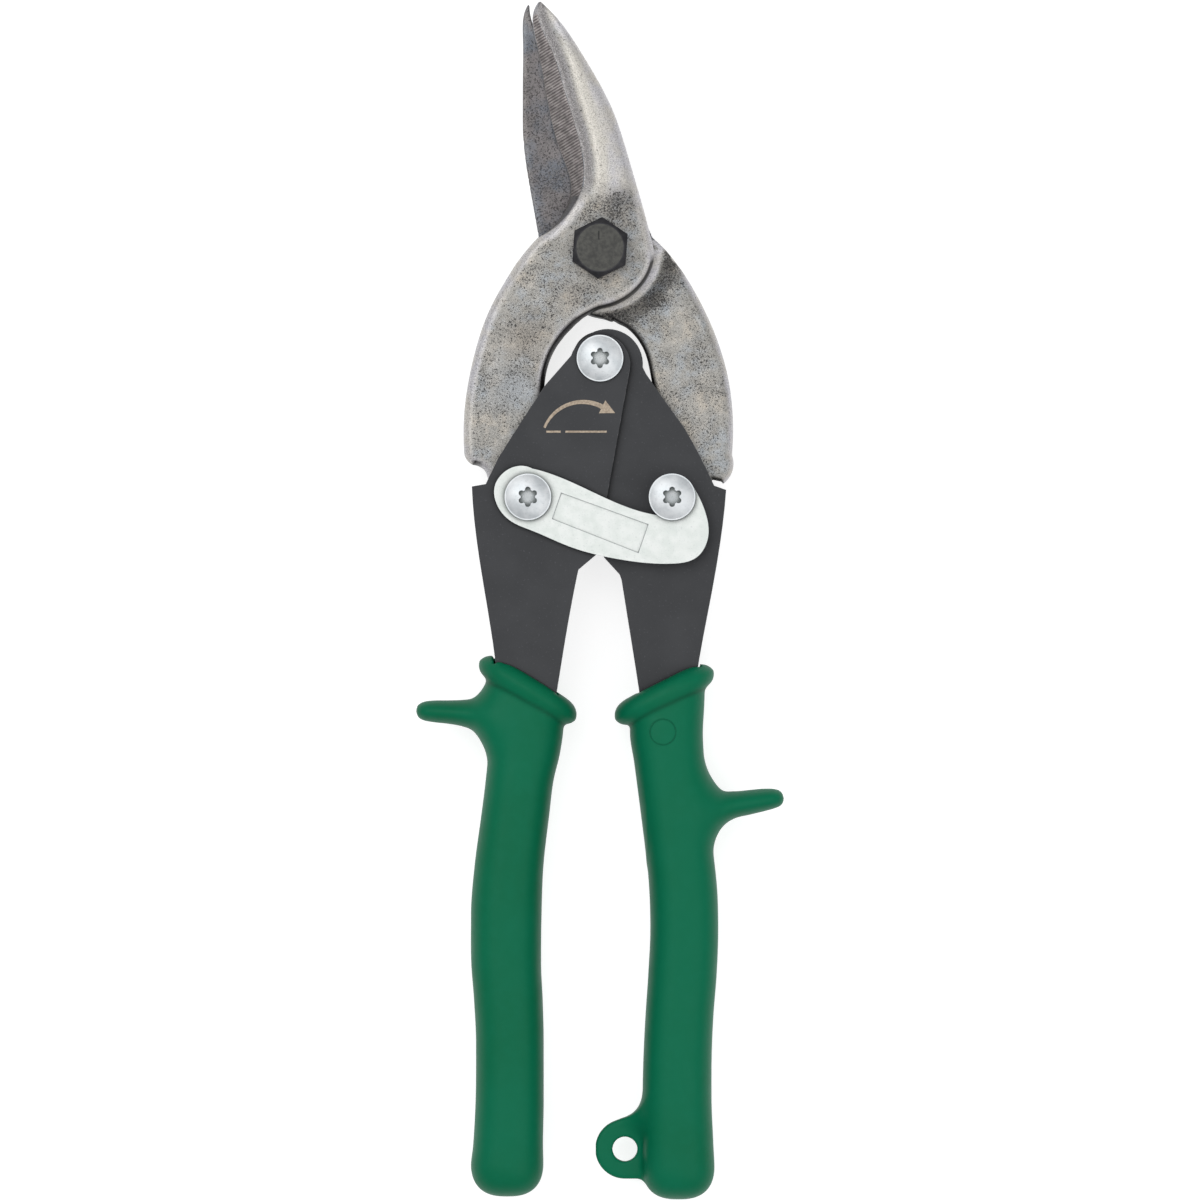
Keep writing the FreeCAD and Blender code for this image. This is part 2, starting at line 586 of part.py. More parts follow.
def stop(name, stations):
    """The spur that keeps a hand from sliding, through ellipses along X."""
    return loft(name, [
        ellipse("%s_%d" % (name, i), depth(half), "%.2f" % tall, SIDEWAYS, (x, y, 0))
        for i, (x, y, tall, half) in enumerate(stations)])


def collar(name, centre, half_width, tilt, thick):
    """The rim at a grip's mouth: an oval plate tilted across the handle."""
    lean = math.radians(tilt)
    across = Vector(-math.sin(lean), math.cos(lean), 0)
    rim = ellipse(name + "_rim", "%.2f" % half_width, "Sizes.collar_half",
                  Rotation(Vector(0, 0, 1), tilt) * Rotation(Vector(1, 0, 0), 90),
                  (centre[0] - across.x * thick / 2, centre[1] - across.y * thick / 2, 0))
    plate = doc.addObject("Part::Extrusion", name)
    plate.Base = rim
    plate.DirMode = "Custom"
    plate.Dir = across
    plate.LengthFwd = thick
    plate.Solid = True
    return plate


def prism(name, spans, bottom, top):
    """Extrude an outline along Z."""
    outline = doc.addObject("Sketcher::SketchObject", name + "_outline")
    trace(outline, spans)
    outline.setExpression("Placement.Base.z", bottom)
    block = doc.addObject("Part::Extrusion", name)
    block.Base = outline
    block.DirMode = "Custom"
    block.Dir = Vector(0, 0, 1)
    block.setExpression("LengthFwd", "%s - (%s)" % (top, bottom))
    block.Solid = True
    return block


def cavity(name, outer, inner, inward, back, front):
    """The room that a handle takes inside its grip."""
    gap = cell("cavity_gap")
    outside = [(x - inward * gap, y - gap) for x, y in outer]
    inside = [(x + inward * gap, y - gap) for x, y in inner]
    spans = [outside, [outside[-1], inside[0]], inside, [inside[-1], outside[0]]]
    return prism(name, spans, "%s - Sizes.cavity_gap" % back, "%s + Sizes.cavity_gap" % front)


settle(cut("left_grip",
           join("left_grip_solid", [
               stem("left_stem", left_body),
               stop("left_stop", left_stop),
               collar("left_collar", (-15.3, -92.4), 11.9, -31.7, 4.2)]),
           cavity("left_cavity", left_outer, left_inner, 1, NEAR_BACK, FAR_TOP)))

tab = prism("hang_tab", tab_outline, "-Sizes.tab_thick / 2", "Sizes.tab_thick / 2")
hang_hole = doc.addObject("Part::Cylinder", "hang_hole")
hang_hole.setExpression("Radius", "Sizes.hang_hole")
hang_hole.setExpression("Height", "Sizes.tab_thick")
hang_hole.setExpression("Placement.Base.z", "-Sizes.tab_thick / 2")
hang_hole.Placement.Base.x = 5.2
hang_hole.Placement.Base.y = -188.2
settle(cut("right_grip",
           join("right_grip_solid", [
               stem("right_stem", right_body),
               stop("right_stop", right_stop),
               collar("right_collar", (13.6, -93.4), 11.6, 26.7, 4.2),
               tab]),
           join("right_grip_room", [
               cavity("right_cavity", right_outer, right_inner, -1, FAR_BACK, NEAR_TOP),
               hang_hole])))

# ---- check every object, then write one file for each piece ----

doc.recompute()
for thing in doc.Objects:
    if "Invalid" in thing.State or "Error" in thing.State:
        raise RuntimeError("%s did not recompute: %s" % (thing.Name, thing.State))

os.makedirs("parts", exist_ok=True)
for piece in nodes:
    shape = piece.Shape
    if shape.isNull() or not shape.isValid():
        raise RuntimeError("%s has no valid shape" % piece.Label)
    low = shape.optimalBoundingBox()
    print("%-22s %d solids %9.1f mm3  x %7.2f %7.2f  y %7.2f %7.2f  z %6.2f %6.2f" % (
        piece.Label, len(shape.Solids), shape.Volume,
        low.XMin, low.XMax, low.YMin, low.YMax, low.ZMin, low.ZMax))

for piece in nodes:
    piece.Shape.exportStep("parts/%s.step" % piece.Label)
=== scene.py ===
import json
import math

import bmesh
import bpy
import numpy as np
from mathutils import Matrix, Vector

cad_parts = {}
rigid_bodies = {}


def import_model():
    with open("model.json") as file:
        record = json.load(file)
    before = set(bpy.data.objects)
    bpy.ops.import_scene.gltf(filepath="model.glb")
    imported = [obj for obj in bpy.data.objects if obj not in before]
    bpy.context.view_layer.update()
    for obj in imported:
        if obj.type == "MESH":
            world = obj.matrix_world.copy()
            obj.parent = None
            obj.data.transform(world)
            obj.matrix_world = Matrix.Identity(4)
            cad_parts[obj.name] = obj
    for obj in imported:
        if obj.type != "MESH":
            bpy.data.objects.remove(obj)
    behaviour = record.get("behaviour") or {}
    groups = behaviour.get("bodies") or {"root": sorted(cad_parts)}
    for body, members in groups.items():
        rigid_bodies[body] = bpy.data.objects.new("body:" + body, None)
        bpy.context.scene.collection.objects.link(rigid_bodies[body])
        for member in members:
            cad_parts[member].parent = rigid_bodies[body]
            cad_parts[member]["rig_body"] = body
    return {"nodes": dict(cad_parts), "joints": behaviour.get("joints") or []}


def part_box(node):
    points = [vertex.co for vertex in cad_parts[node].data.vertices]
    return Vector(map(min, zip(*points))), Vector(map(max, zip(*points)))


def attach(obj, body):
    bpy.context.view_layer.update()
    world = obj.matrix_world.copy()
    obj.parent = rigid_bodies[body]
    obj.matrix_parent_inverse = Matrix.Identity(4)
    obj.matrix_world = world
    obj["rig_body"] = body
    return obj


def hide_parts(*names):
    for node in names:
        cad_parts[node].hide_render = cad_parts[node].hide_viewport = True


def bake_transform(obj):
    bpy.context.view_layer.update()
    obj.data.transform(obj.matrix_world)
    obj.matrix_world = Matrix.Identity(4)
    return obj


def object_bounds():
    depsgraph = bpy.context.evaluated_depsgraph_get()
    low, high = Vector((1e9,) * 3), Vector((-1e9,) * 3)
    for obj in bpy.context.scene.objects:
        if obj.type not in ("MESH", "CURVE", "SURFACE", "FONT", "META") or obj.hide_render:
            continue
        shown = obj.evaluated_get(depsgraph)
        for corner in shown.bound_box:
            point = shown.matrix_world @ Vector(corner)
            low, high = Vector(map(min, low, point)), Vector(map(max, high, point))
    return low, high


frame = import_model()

cad_box = [list(corner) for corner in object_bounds()]

# Aviation snips lying on a pale table. The jaws, the grips and the spring are built here;
# the plates, latch, bolt and screws are the CAD nodes with better materials.
# Shapes are worked out in millimetres round the jaws' pivot, with z = 0 on the plane where
# the blades slide on each other, and are turned into metres in the part's frame at the end.

MM = 0.001
NODES = frame["nodes"]
JOINTS = {joint["name"]: joint for joint in frame["joints"]}
bolt_low, bolt_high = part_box("pivot_bolt")
HANDLE_PIVOT = np.array(JOINTS["handle_pivot"]["pos_m"])
MAIN = np.array([(bolt_low[0] + bolt_high[0]) / 2, (bolt_low[1] + bolt_high[1]) / 2,
                 HANDLE_PIVOT[2]])


def to_metres(points):
    return np.asarray(points) * MM + MAIN


def local(position):
    """A place in the part's frame, in millimetres round the jaws' pivot."""
    return (np.asarray(position) - MAIN) / MM


ARM_LEFT = local(JOINTS["left_arm_pivot"]["pos_m"])
ARM_RIGHT = local(JOINTS["right_arm_pivot"]["pos_m"])
HANDLE = local(HANDLE_PIVOT)


# ---- numbers on a plane ----

def smoothstep(low, high, value):
    """0 up to low and 1 from high on, with a smooth rise between them."""
    t = np.clip((value - low) / (high - low), 0.0, 1.0)
    return t * t * (3 - 2 * t)


def round_max(a, b, k):
    """The larger of two fields, with the corner between them rounded."""
    h = np.maximum(k - np.abs(a - b), 0.0) / k
    return np.maximum(a, b) + h * h * k / 4


def round_min(a, b, k):
    """The smaller of two fields, with the corner between them filled."""
    return -round_max(-a, -b, k)


def flat_segments(node, level):
    """The edges round a node's flat faces at one height, in millimetres, seen from above."""
    mesh = NODES[node].data
    points = local(np.array([v.co for v in mesh.vertices]))
    keys = [tuple(np.round(p, 3)) for p in points]
    open_edges = {}
    for polygon in mesh.polygons:
        corners = [keys[i] for i in polygon.vertices]
        if max(abs(corner[2] - level) for corner in corners) > 0.004:
            continue
        for a, b in zip(corners, corners[1:] + corners[:1]):
            if open_edges.pop((b, a), None) is None:
                open_edges[(a, b)] = True
    return np.array([[a[:2], b[:2]] for a, b in open_edges])


def without_holes(segments, centres, reach):
    """The segments that lie further than reach from every centre."""
    middle = segments.mean(axis=1)
    keep = np.ones(len(segments), bool)
    for centre in centres:
        keep &= np.hypot(*(middle - centre[:2]).T) > reach
    return segments[keep]


def distance_to(segments, x, y):
    """Distance from each point to the nearest segment."""
    best = np.full(np.shape(x), 1e9)
    for (ax, ay), (bx, by) in segments:
        dx, dy = bx - ax, by - ay
        length = dx * dx + dy * dy
        if length == 0:
            continue
        t = np.clip(((x - ax) * dx + (y - ay) * dy) / length, 0.0, 1.0)
        best = np.minimum(best, (x - ax - t * dx) ** 2 + (y - ay - t * dy) ** 2)
    return np.sqrt(best)


def inside_of(segments, x, y):
    """True where a point lies within the closed outline that the segments make."""
    odd = np.zeros(np.shape(x), bool)
    for (ax, ay), (bx, by) in segments:
        if ay == by:
            continue
        crosses = (y < ay) != (y < by)
        odd ^= crosses & (x < ax + (y - ay) * (bx - ax) / (by - ay))
    return odd


def signed(segments, x, y):
    """Distance to an outline, negative inside it."""
    return distance_to(segments, x, y) * np.where(inside_of(segments, x, y), -1, 1)


def in_either(first, second, x, y):
    """True inside either of two outlines, or in a hair's gap between them."""
    inside = inside_of(first, x, y) | inside_of(second, x, y)
    gap = (distance_to(first, x, y) < 0.15) & (distance_to(second, x, y) < 0.15)
    return inside | gap


def outer_of(first, second):
    """The segments round the union of two outlines: those with it on one side only."""
    both = np.concatenate([first, second])
    middle = both.mean(axis=1)
    way = both[:, 1] - both[:, 0]
    flank = np.stack([-way[:, 1], way[:, 0]], axis=1)
    flank *= 0.4 / np.linalg.norm(flank, axis=1)[:, None]
    left = in_either(first, second, *(middle + flank).T)
    right = in_either(first, second, *(middle - flank).T)
    return both[left != right]


class Map:
    """Values on a plane grid, read between the grid's points."""

    def __init__(self, low, high, step):
        self.low, self.step = np.array(low), step
        self.x, self.y = np.meshgrid(np.arange(low[0], high[0] + step, step),
                                     np.arange(low[1], high[1] + step, step), indexing="ij")

    def read(self, values, x, y):
        u = np.clip((x - self.low[0]) / self.step, 0, values.shape[0] - 1.001)
        v = np.clip((y - self.low[1]) / self.step, 0, values.shape[1] - 1.001)
        i, j = u.astype(int), v.astype(int)
        u, v = u - i, v - j
        near = values[i, j] * (1 - v) + values[i, j + 1] * v
        far = values[i + 1, j] * (1 - v) + values[i + 1, j + 1] * v
        return near * (1 - u) + far * u


# ---- a closed mesh round the space where a field is negative ----

def surface(field, low, high, step):
    """(points, faces) of the surface: a point in each grid cell that it crosses, and a quad
    round each grid edge that it crosses."""
    low = np.array(low, float)
    counts = np.ceil((np.array(high) - low) / step).astype(int) + 1
    axes = [low[i] + step * np.arange(counts[i]) for i in range(3)]
    values = field(*np.meshgrid(*axes, indexing="ij"))
    inside = values < 0
    corners = [(i, j, k) for i in (0, 1) for j in (0, 1) for k in (0, 1)]
    total = sum(inside[i:counts[0] - 1 + i, j:counts[1] - 1 + j, k:counts[2] - 1 + k]
                .astype(np.int8) for i, j, k in corners)
    mixed = (total > 0) & (total < 8)
    cells = np.argwhere(mixed)
    index = np.full(mixed.shape, -1)
    index[mixed] = np.arange(len(cells))
    place = np.zeros((len(cells), 3))
    crossings = np.zeros(len(cells))
    for axis in range(3):
        along = np.eye(3, dtype=int)[axis]
        for corner in corners:
            if corner[axis]:
                continue
            start = cells + corner
            a = values[tuple(start.T)]
            b = values[tuple((start + along).T)]
            cut = (a < 0) != (b < 0)
            place[cut] += start[cut] + along * (a[cut] / (a[cut] - b[cut]))[:, None]
            crossings[cut] += 1
    points = low + step * place / crossings[:, None]
    faces = []
    for axis in range(3):
        along, second, third = (np.eye(3, dtype=int)[(axis + i) % 3] for i in range(3))
        ends = [slice(0, n - 1) if i == axis else slice(1, n - 1)
                for i, n in enumerate(counts)]
        ahead = [slice(1, n) if i == axis else slice(1, n - 1)
                 for i, n in enumerate(counts)]
        first = inside[tuple(ends)]
        change = np.argwhere(first != inside[tuple(ahead)])
        leaving = first[tuple(change.T)]
        cell = change + second + third
        quad = np.stack([index[tuple((cell - second - third).T)], index[tuple((cell - third).T)],
                         index[tuple(cell.T)], index[tuple((cell - second).T)]], axis=1)
        quad[~leaving] = quad[~leaving][:, ::-1]
        faces.append(quad)
    # Short steps along the field's slope bring the points onto the surface itself.
    reach, flattest = 0.05, 0.05
    for _ in range(4):
        x, y, z = points.T
        value = field(x, y, z)
        slope = np.stack([field(x + reach, y, z) - field(x - reach, y, z),
                          field(x, y + reach, z) - field(x, y - reach, z),
                          field(x, y, z + reach) - field(x, y, z - reach)], axis=1) / (2 * reach)
        steepness = np.maximum((slope ** 2).sum(axis=1), flattest)
        move = value[:, None] * slope / steepness[:, None]
        points = points - np.clip(move, -step / 3, step / 3)
    return points, np.concatenate(faces)


def mesh_object(name, points, faces, material, smooth=True, marks=None):
    """An object from points in millimetres. marks are numbers that the material reads."""
    mesh = bpy.data.meshes.new(name)
    mesh.from_pydata(to_metres(points).tolist(), [], np.asarray(faces).tolist()
                     if isinstance(faces, np.ndarray) else faces)
    mesh.validate()
    for key, values in (marks or {}).items():
        layer = mesh.attributes.new(key, "FLOAT", "POINT")
        layer.data.foreach_set("value", np.asarray(values, np.float32))
    mesh.polygons.foreach_set("use_smooth", [smooth] * len(mesh.polygons))
    mesh.materials.append(material)
    mesh.update()
    made = bpy.data.objects.new(name, mesh)
    bpy.context.scene.collection.objects.link(made)
    return made


def make_piece(name, points, faces, body, material, smooth=True, marks=None):
    """A piece that rides on one body."""
    piece = mesh_object(name, points, faces, material, smooth, marks)
    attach(piece, body)
    return piece


def face_outwards(piece):
    work = bmesh.new()
    work.from_mesh(piece.data)
    bmesh.ops.recalc_face_normals(work, faces=work.faces)
    work.to_mesh(piece.data)
    work.free()


# ---- materials ----

class Shader:
    """A Principled material, with short calls that add nodes to it."""

    def __init__(self, name, **settings):
        self.material = bpy.data.materials.new(name)
        self.material.use_nodes = True
        self.tree = self.material.node_tree
        self.shader = self.tree.nodes["Principled BSDF"]
        for key, value in settings.items():
            self.shader.inputs[key.replace("_", " ")].default_value = value
        self.place = self.add("ShaderNodeTexCoord").outputs["Object"]

    def add(self, kind, **settings):
        node = self.tree.nodes.new(kind)
        for key, value in settings.items():
            setattr(node, key, value)
        return node

    def feed(self, socket, value):
        if isinstance(value, bpy.types.NodeSocket):
            self.tree.links.new(value, socket)
        else:
            socket.default_value = value

    def math(self, operation, a, b=0.0):
        node = self.add("ShaderNodeMath", operation=operation)
        self.feed(node.inputs[0], a)
        self.feed(node.inputs[1], b)
        return node.outputs[0]

    def times(self, a, b):
        return self.math("MULTIPLY", a, b)

    def plus(self, a, b):
        return self.math("ADD", a, b)

    def flipped(self, value):
        """1 where the value is 0, and 0 where it is 1."""
        return self.math("SUBTRACT", 1.0, value)

    def noise(self, size, detail=2.0, roughness=0.5):
        """Noise whose blobs are about size millimetres across."""
        node = self.add("ShaderNodeTexNoise")
        self.feed(node.inputs["Vector"], self.place)
        node.inputs["Scale"].default_value = 1 / (size * MM)
        node.inputs["Detail"].default_value = detail
        node.inputs["Roughness"].default_value = roughness
        return node.outputs["Fac"]

    def ramp(self, value, low, high):
        node = self.add("ShaderNodeMapRange", interpolation_type="SMOOTHSTEP")
        self.feed(node.inputs["Value"], value)
        self.feed(node.inputs["From Min"], low)
        self.feed(node.inputs["From Max"], high)
        return node.outputs["Result"]

    def shade(self, reach):
        """1 in the open and 0 deep in a recess, looking reach millimetres round."""
        node = self.add("ShaderNodeAmbientOcclusion", samples=8)
        node.inputs["Distance"].default_value = reach * MM
        return node.outputs["AO"]

    def edges(self, radius):
        """1 along sharp edges, within radius millimetres of them, and 0 elsewhere."""
        bevel = self.add("ShaderNodeBevel", samples=6)
        bevel.inputs["Radius"].default_value = radius * MM
        true = self.add("ShaderNodeNewGeometry")
        node = self.add("ShaderNodeVectorMath", operation="DOT_PRODUCT")
        self.feed(node.inputs[0], bevel.outputs["Normal"])
        self.feed(node.inputs[1], true.outputs["Normal"])
        return self.flipped(self.ramp(node.outputs["Value"], 0.80, 0.985))

    def mark(self, name):
        return self.add("ShaderNodeAttribute", attribute_name=name).outputs["Fac"]

    def mix(self, share, a, b):
        node = self.add("ShaderNodeMix", data_type="RGBA")
        self.feed(node.inputs["Factor"], share)
        self.feed(node.inputs[6], a)
        self.feed(node.inputs[7], b)
        return node.outputs[2]

    def bump(self, height, distance, strength=1.0):
        node = self.add("ShaderNodeBump")
        self.feed(node.inputs["Height"], height)
        node.inputs["Distance"].default_value = distance * MM
        node.inputs["Strength"].default_value = strength
        self.feed(self.shader.inputs["Normal"], node.outputs["Normal"])

    def colour(self, value):
        self.feed(self.shader.inputs["Base Color"], value)

    def rough(self, value):
        self.feed(self.shader.inputs["Roughness"], value)


def rgb(red, green, blue):
    """A colour as shown on screen, 0 to 255, as the shader's linear one."""
    def linear(c):
        c /= 255
        return c / 12.92 if c <= 0.04045 else ((c + 0.055) / 1.055) ** 2.4
    return (linear(red), linear(green), linear(blue), 1.0)


def forged_steel():
    """Forged and tumbled steel: dark pits, smooth paler rims, faint blue and brown stains,
    painted highlight on the blade's crest and beside the other jaw's boss, and painted shade in
    the valley, on the steep walls and round that boss.
    """
    s = Shader("forged_steel", Metallic=0.45)
    rim = s.mark("rim")
    ground = s.mark("ground")
    crest = s.mark("crest")
    darker_zone = s.mark("darker_zone")
    stains = s.noise(8.0, 3.0)
    blotch = s.noise(2.2, 3.0)
    tone = s.mix(s.ramp(stains, 0.36, 0.62), rgb(172, 165, 153), rgb(152, 157, 160))
    tone = s.mix(s.ramp(blotch, 0.35, 0.7), rgb(146, 144, 138), tone)
    bare = s.mix(s.ramp(s.noise(5.0, 2.0), 0.35, 0.65), rgb(184, 183, 187), rgb(185, 181, 174))
    tone = s.mix(s.times(s.mark("brown"), 0.55), tone, rgb(126, 118, 108))
    tone = s.mix(s.times(s.mark("blue"), 0.5), tone, rgb(140, 150, 160))
    # Paler bare steel on the worn rims; the same mark carries the painted highlight beside the
    # other jaw's boss.
    tone = s.mix(rim, tone, bare)
    # Painted highlight: the crest along the blade's middle is coloured pale cream.
    tone = s.mix(crest, tone, rgb(188, 184, 175))
    # Painted shade: the hollow beside the ridge is coloured darker grey.
    tone = s.mix(s.mark("valley"), tone, rgb(124, 121, 121))
    cast = s.mix(s.ramp(stains, 0.4, 0.6), rgb(116, 111, 111), rgb(101, 108, 118))
    tone = s.mix(ground, tone, cast)
    grain = s.noise(0.24, 2.0, roughness=0.6)
    pale = s.times(s.ramp(grain, 0.50, 0.64), 0.42)
    dull = s.times(s.flipped(s.ramp(grain, 0.36, 0.5)), 0.5)
    tone = s.mix(pale, tone, rgb(214, 212, 208))
    tone = s.mix(dull, tone, rgb(84, 82, 82))
    fine = s.noise(0.24, 2.0, roughness=0.6)
    coarse = s.noise(0.38, 2.0, roughness=0.6)
    # Fewer pits on the rims and under the crest's painted highlight; more in the darker zone,
    # where painted shade falls round the other jaw's boss, in random patches and on the ground
    # faces.
    clear = s.plus(s.times(rim, 0.09), s.times(crest, 0.07))
    patches = s.times(s.math("SUBTRACT", s.noise(4.5, 2.0), 0.5), 0.2)
    more_pits = s.plus(s.times(darker_zone, 0.11), patches)
    more_pits = s.plus(more_pits, s.times(ground, 0.07))
    level = s.math("SUBTRACT", s.plus(0.575, clear), more_pits)
    pits = s.ramp(coarse, s.plus(level, 0.02), s.plus(level, 0.07))
    specks = s.ramp(fine, level, s.plus(level, 0.04))
    holes = s.math("MAXIMUM", pits, s.times(specks, 0.85))
    depth = s.math("SUBTRACT", 0.84, s.times(ground, 0.26))
    tone = s.mix(s.times(holes, depth), tone, rgb(30, 28, 29))
    # Painted shade: the steep drafted walls and the blade's heel wall are coloured near black.
    tone = s.mix(s.times(s.mark("wall"), 0.94), tone, rgb(32, 29, 30))
    s.colour(tone)
    s.rough(s.plus(0.46, s.times(holes, 0.3)))
    relief = s.math("SUBTRACT", s.times(grain, 0.4), holes)
    s.bump(relief, 0.06, 0.5)
    return s.material


def ground_teeth():
    """The serrated bevel: painted shade darkens the grooves between the teeth, so that their
    crests stand out bright.
    """
    s = Shader("ground_teeth", Metallic=0.45)
    groove = s.mark("groove")
    patch = s.noise(1.3, 3.0)
    tone = s.mix(s.ramp(patch, 0.3, 0.7), rgb(134, 128, 126), rgb(178, 171, 168))
    depth = s.ramp(s.noise(0.8, 2.0), 0.2, 0.55)
    # Painted shade in the grooves, deeper in random patches.
    groove_shade = s.times(groove, s.plus(0.35, s.times(depth, 0.6)))
    tone = s.mix(groove_shade, tone, rgb(62, 58, 58))
    s.colour(tone)
    s.rough(s.plus(0.4, s.times(groove, 0.2)))
    s.bump(s.noise(0.15, 2.0), 0.03, 0.5)
    return s.material


def powder_coat():
    """Satin charcoal coating over stamped sheet, paler along its edges where it is worn and
    where a painted highlight stands for the rolled edge, with painted shade in its crevices.
    """
    s = Shader("black_plate", Metallic=0.0)
    s.shader.inputs["Specular IOR Level"].default_value = 0.18
    tone = s.mix(s.ramp(s.noise(9.0, 3.0), 0.35, 0.65), rgb(51, 52, 54), rgb(55, 56, 58))
    tone = s.mix(s.ramp(s.noise(0.5, 3.0), 0.62, 0.72), tone, rgb(63, 64, 67))
    scuffs = s.ramp(s.noise(1.4, 3.0), 0.42, 0.62)
    # Paler along the edges: wear through the coat, and a painted highlight for the punched
    # edges' roll.
    wear_and_highlight = s.times(s.times(s.edges(0.3), scuffs), 0.55)
    tone = s.mix(wear_and_highlight, tone, rgb(112, 112, 114))
    # Painted shade: near black in crevices, along seams and where the plates meet the collars.
    recess_shade = s.flipped(s.ramp(s.shade(1.6), 0.35, 0.8))
    tone = s.mix(s.times(recess_shade, 0.9), tone, rgb(6, 6, 7))
    s.colour(tone)
    s.rough(s.plus(0.42, s.times(s.noise(3.0, 2.0), 0.16)))
    s.bump(s.noise(0.28, 2.0), 0.02, 0.35)
    return s.material


def zinc(name, light, dark, grain, rough):
    """Zinc plating: cloudy, with darker spangles and edges, and painted shade that darkens it in
    recesses.
    """
    s = Shader(name, Metallic=0.7)
    cloud = s.noise(2.6, 4.0)
    tone = s.mix(s.ramp(cloud, 0.3, 0.7), dark, light)
    spangle = s.times(s.ramp(s.noise(0.35, 2.0), 0.6, 0.72), 0.3)
    tone = s.mix(spangle, tone, rgb(150, 154, 158))
    # Painted shade: darkest in recesses, such as the screws' sockets.
    recess_shade = s.flipped(s.ramp(s.shade(2.4), 0.4, 0.95))
    tone = s.mix(s.times(recess_shade, 0.92), tone, rgb(74, 80, 78))
    tone = s.mix(s.times(s.edges(0.18), 0.3), tone, rgb(150, 156, 166))
    s.colour(tone)
    s.rough(s.plus(rough, s.times(cloud, 0.18)))
    s.bump(s.noise(grain, 3.0), 0.03, 0.45)
    return s.material


def black_oxide():
    """Blackened steel, with fine turned rings and a dark nick on the bolt's top face."""
    s = Shader("black_oxide", Metallic=0.6)
    split = s.add("ShaderNodeSeparateXYZ")
    s.feed(split.inputs[0], s.place)
    x, y = split.outputs[0], s.math("SUBTRACT", split.outputs[1], float(MAIN[1]))
    radius = s.math("SQRT", s.plus(s.times(x, x), s.times(y, y)))
    top = s.ramp(split.outputs[2], bolt_high[2] - 0.5 * MM, bolt_high[2] - 0.35 * MM)
    disc = s.times(top, s.flipped(s.ramp(radius, 4.84 * MM, 4.94 * MM)))
    turned = s.times(radius, 2 * math.pi / (0.32 * MM))
    rings = s.math("SINE", s.plus(turned, s.times(s.noise(2.5, 2.0), 9.0)))
    tone = s.mix(s.ramp(s.noise(1.2, 3.0), 0.3, 0.7), rgb(34, 34, 37), rgb(46, 46, 48))
    face = s.mix(s.ramp(s.noise(0.8, 3.0), 0.3, 0.7), rgb(53, 53, 51), rgb(69, 69, 65))
    aside = s.math("ABSOLUTE", s.plus(x, 0.25 * MM))
    narrow = s.flipped(s.ramp(aside, 0.08 * MM, 0.2 * MM))
    nick = s.times(narrow, s.ramp(y, 1.5 * MM, 1.8 * MM))
    nick = s.times(nick, s.flipped(s.ramp(y, 3.3 * MM, 3.7 * MM)))
    face = s.mix(s.times(nick, 0.8), face, rgb(16, 16, 17))
    s.colour(s.mix(disc, tone, face))
    s.rough(s.plus(0.4, s.times(s.noise(0.7, 2.0), 0.15)))
    turning = s.times(s.times(rings, disc), 0.3)
    s.bump(s.plus(turning, s.noise(0.3, 2.0)), 0.04, 0.5)
    return s.material


def drawn_wire():
    """Dark drawn spring wire."""
    s = Shader("spring_steel", Metallic=0.85)
    tone = s.mix(s.ramp(s.noise(1.2, 3.0), 0.35, 0.65), rgb(66, 66, 68), rgb(92, 91, 90))
    s.colour(tone)
    s.rough(s.plus(0.3, s.times(s.noise(0.5, 2.0), 0.2)))
    s.bump(s.noise(0.2, 2.0), 0.02, 0.4)
    return s.material


def grip_rubber():
    """Dipped vinyl: smooth and satin, a little lighter in patches, finely orange-peeled."""
    s = Shader("green_grip", Metallic=0.0)
    s.shader.inputs["Specular IOR Level"].default_value = 0.1
    tone = s.mix(s.ramp(s.noise(26.0, 2.0), 0.35, 0.65), rgb(0, 93, 62), rgb(0, 97, 67))
    patches = s.times(s.ramp(s.noise(2.2, 3.0), 0.4, 0.7), 0.2)
    tone = s.mix(patches, tone, rgb(6, 101, 73))
    # Painted shade in the crease where the collar meets the grip, and on the moulded ring.
    tone = s.mix(s.mark("crease_shade"), tone, rgb(2, 66, 44))
    s.colour(tone)
    s.rough(s.plus(0.40, s.times(s.noise(5.0, 3.0), 0.16)))
    s.bump(s.plus(s.noise(0.7, 2.0), s.times(s.noise(0.25, 1.0), 0.3)), 0.05, 0.25)
    return s.material


def bronze_ink():
    """The bronze tone of the mark etched through the coating."""
    s = Shader("etched_mark", Metallic=0.35)
    patches = s.ramp(s.noise(0.4, 3.0), 0.35, 0.65)
    s.colour(s.mix(patches, rgb(138, 124, 108), rgb(164, 150, 132)))
    s.rough(s.plus(0.45, s.times(s.noise(0.6, 2.0), 0.2)))
    s.bump(s.noise(0.2, 2.0), 0.02, 0.4)
    return s.material


STEEL, TEETH, COAT = forged_steel(), ground_teeth(), powder_coat()
FASTENER = zinc("zinc_fastener", rgb(206, 209, 210), rgb(184, 189, 191), 0.5, 0.38)
LATCH = zinc("zinc_latch", rgb(206, 209, 206), rgb(192, 197, 193), 0.4, 0.42)
OXIDE, WIRE, GRIP, INK = black_oxide(), drawn_wire(), grip_rubber(), bronze_ink()

NODE_MATERIAL = {
    COAT: ("left_handle", "right_handle"),
    LATCH: ("latch",),
    OXIDE: ("pivot_bolt", "pivot_nut", "pivot_washer"),
    WIRE: ("spring_bushing",),
    FASTENER: ("handle_pivot_screw", "handle_pivot_barrel", "left_arm_screw",
               "left_arm_barrel", "right_arm_screw", "right_arm_barrel",
               "right_spacer_washer", "latch_wave_washer"),
}


# ---- jaws ----

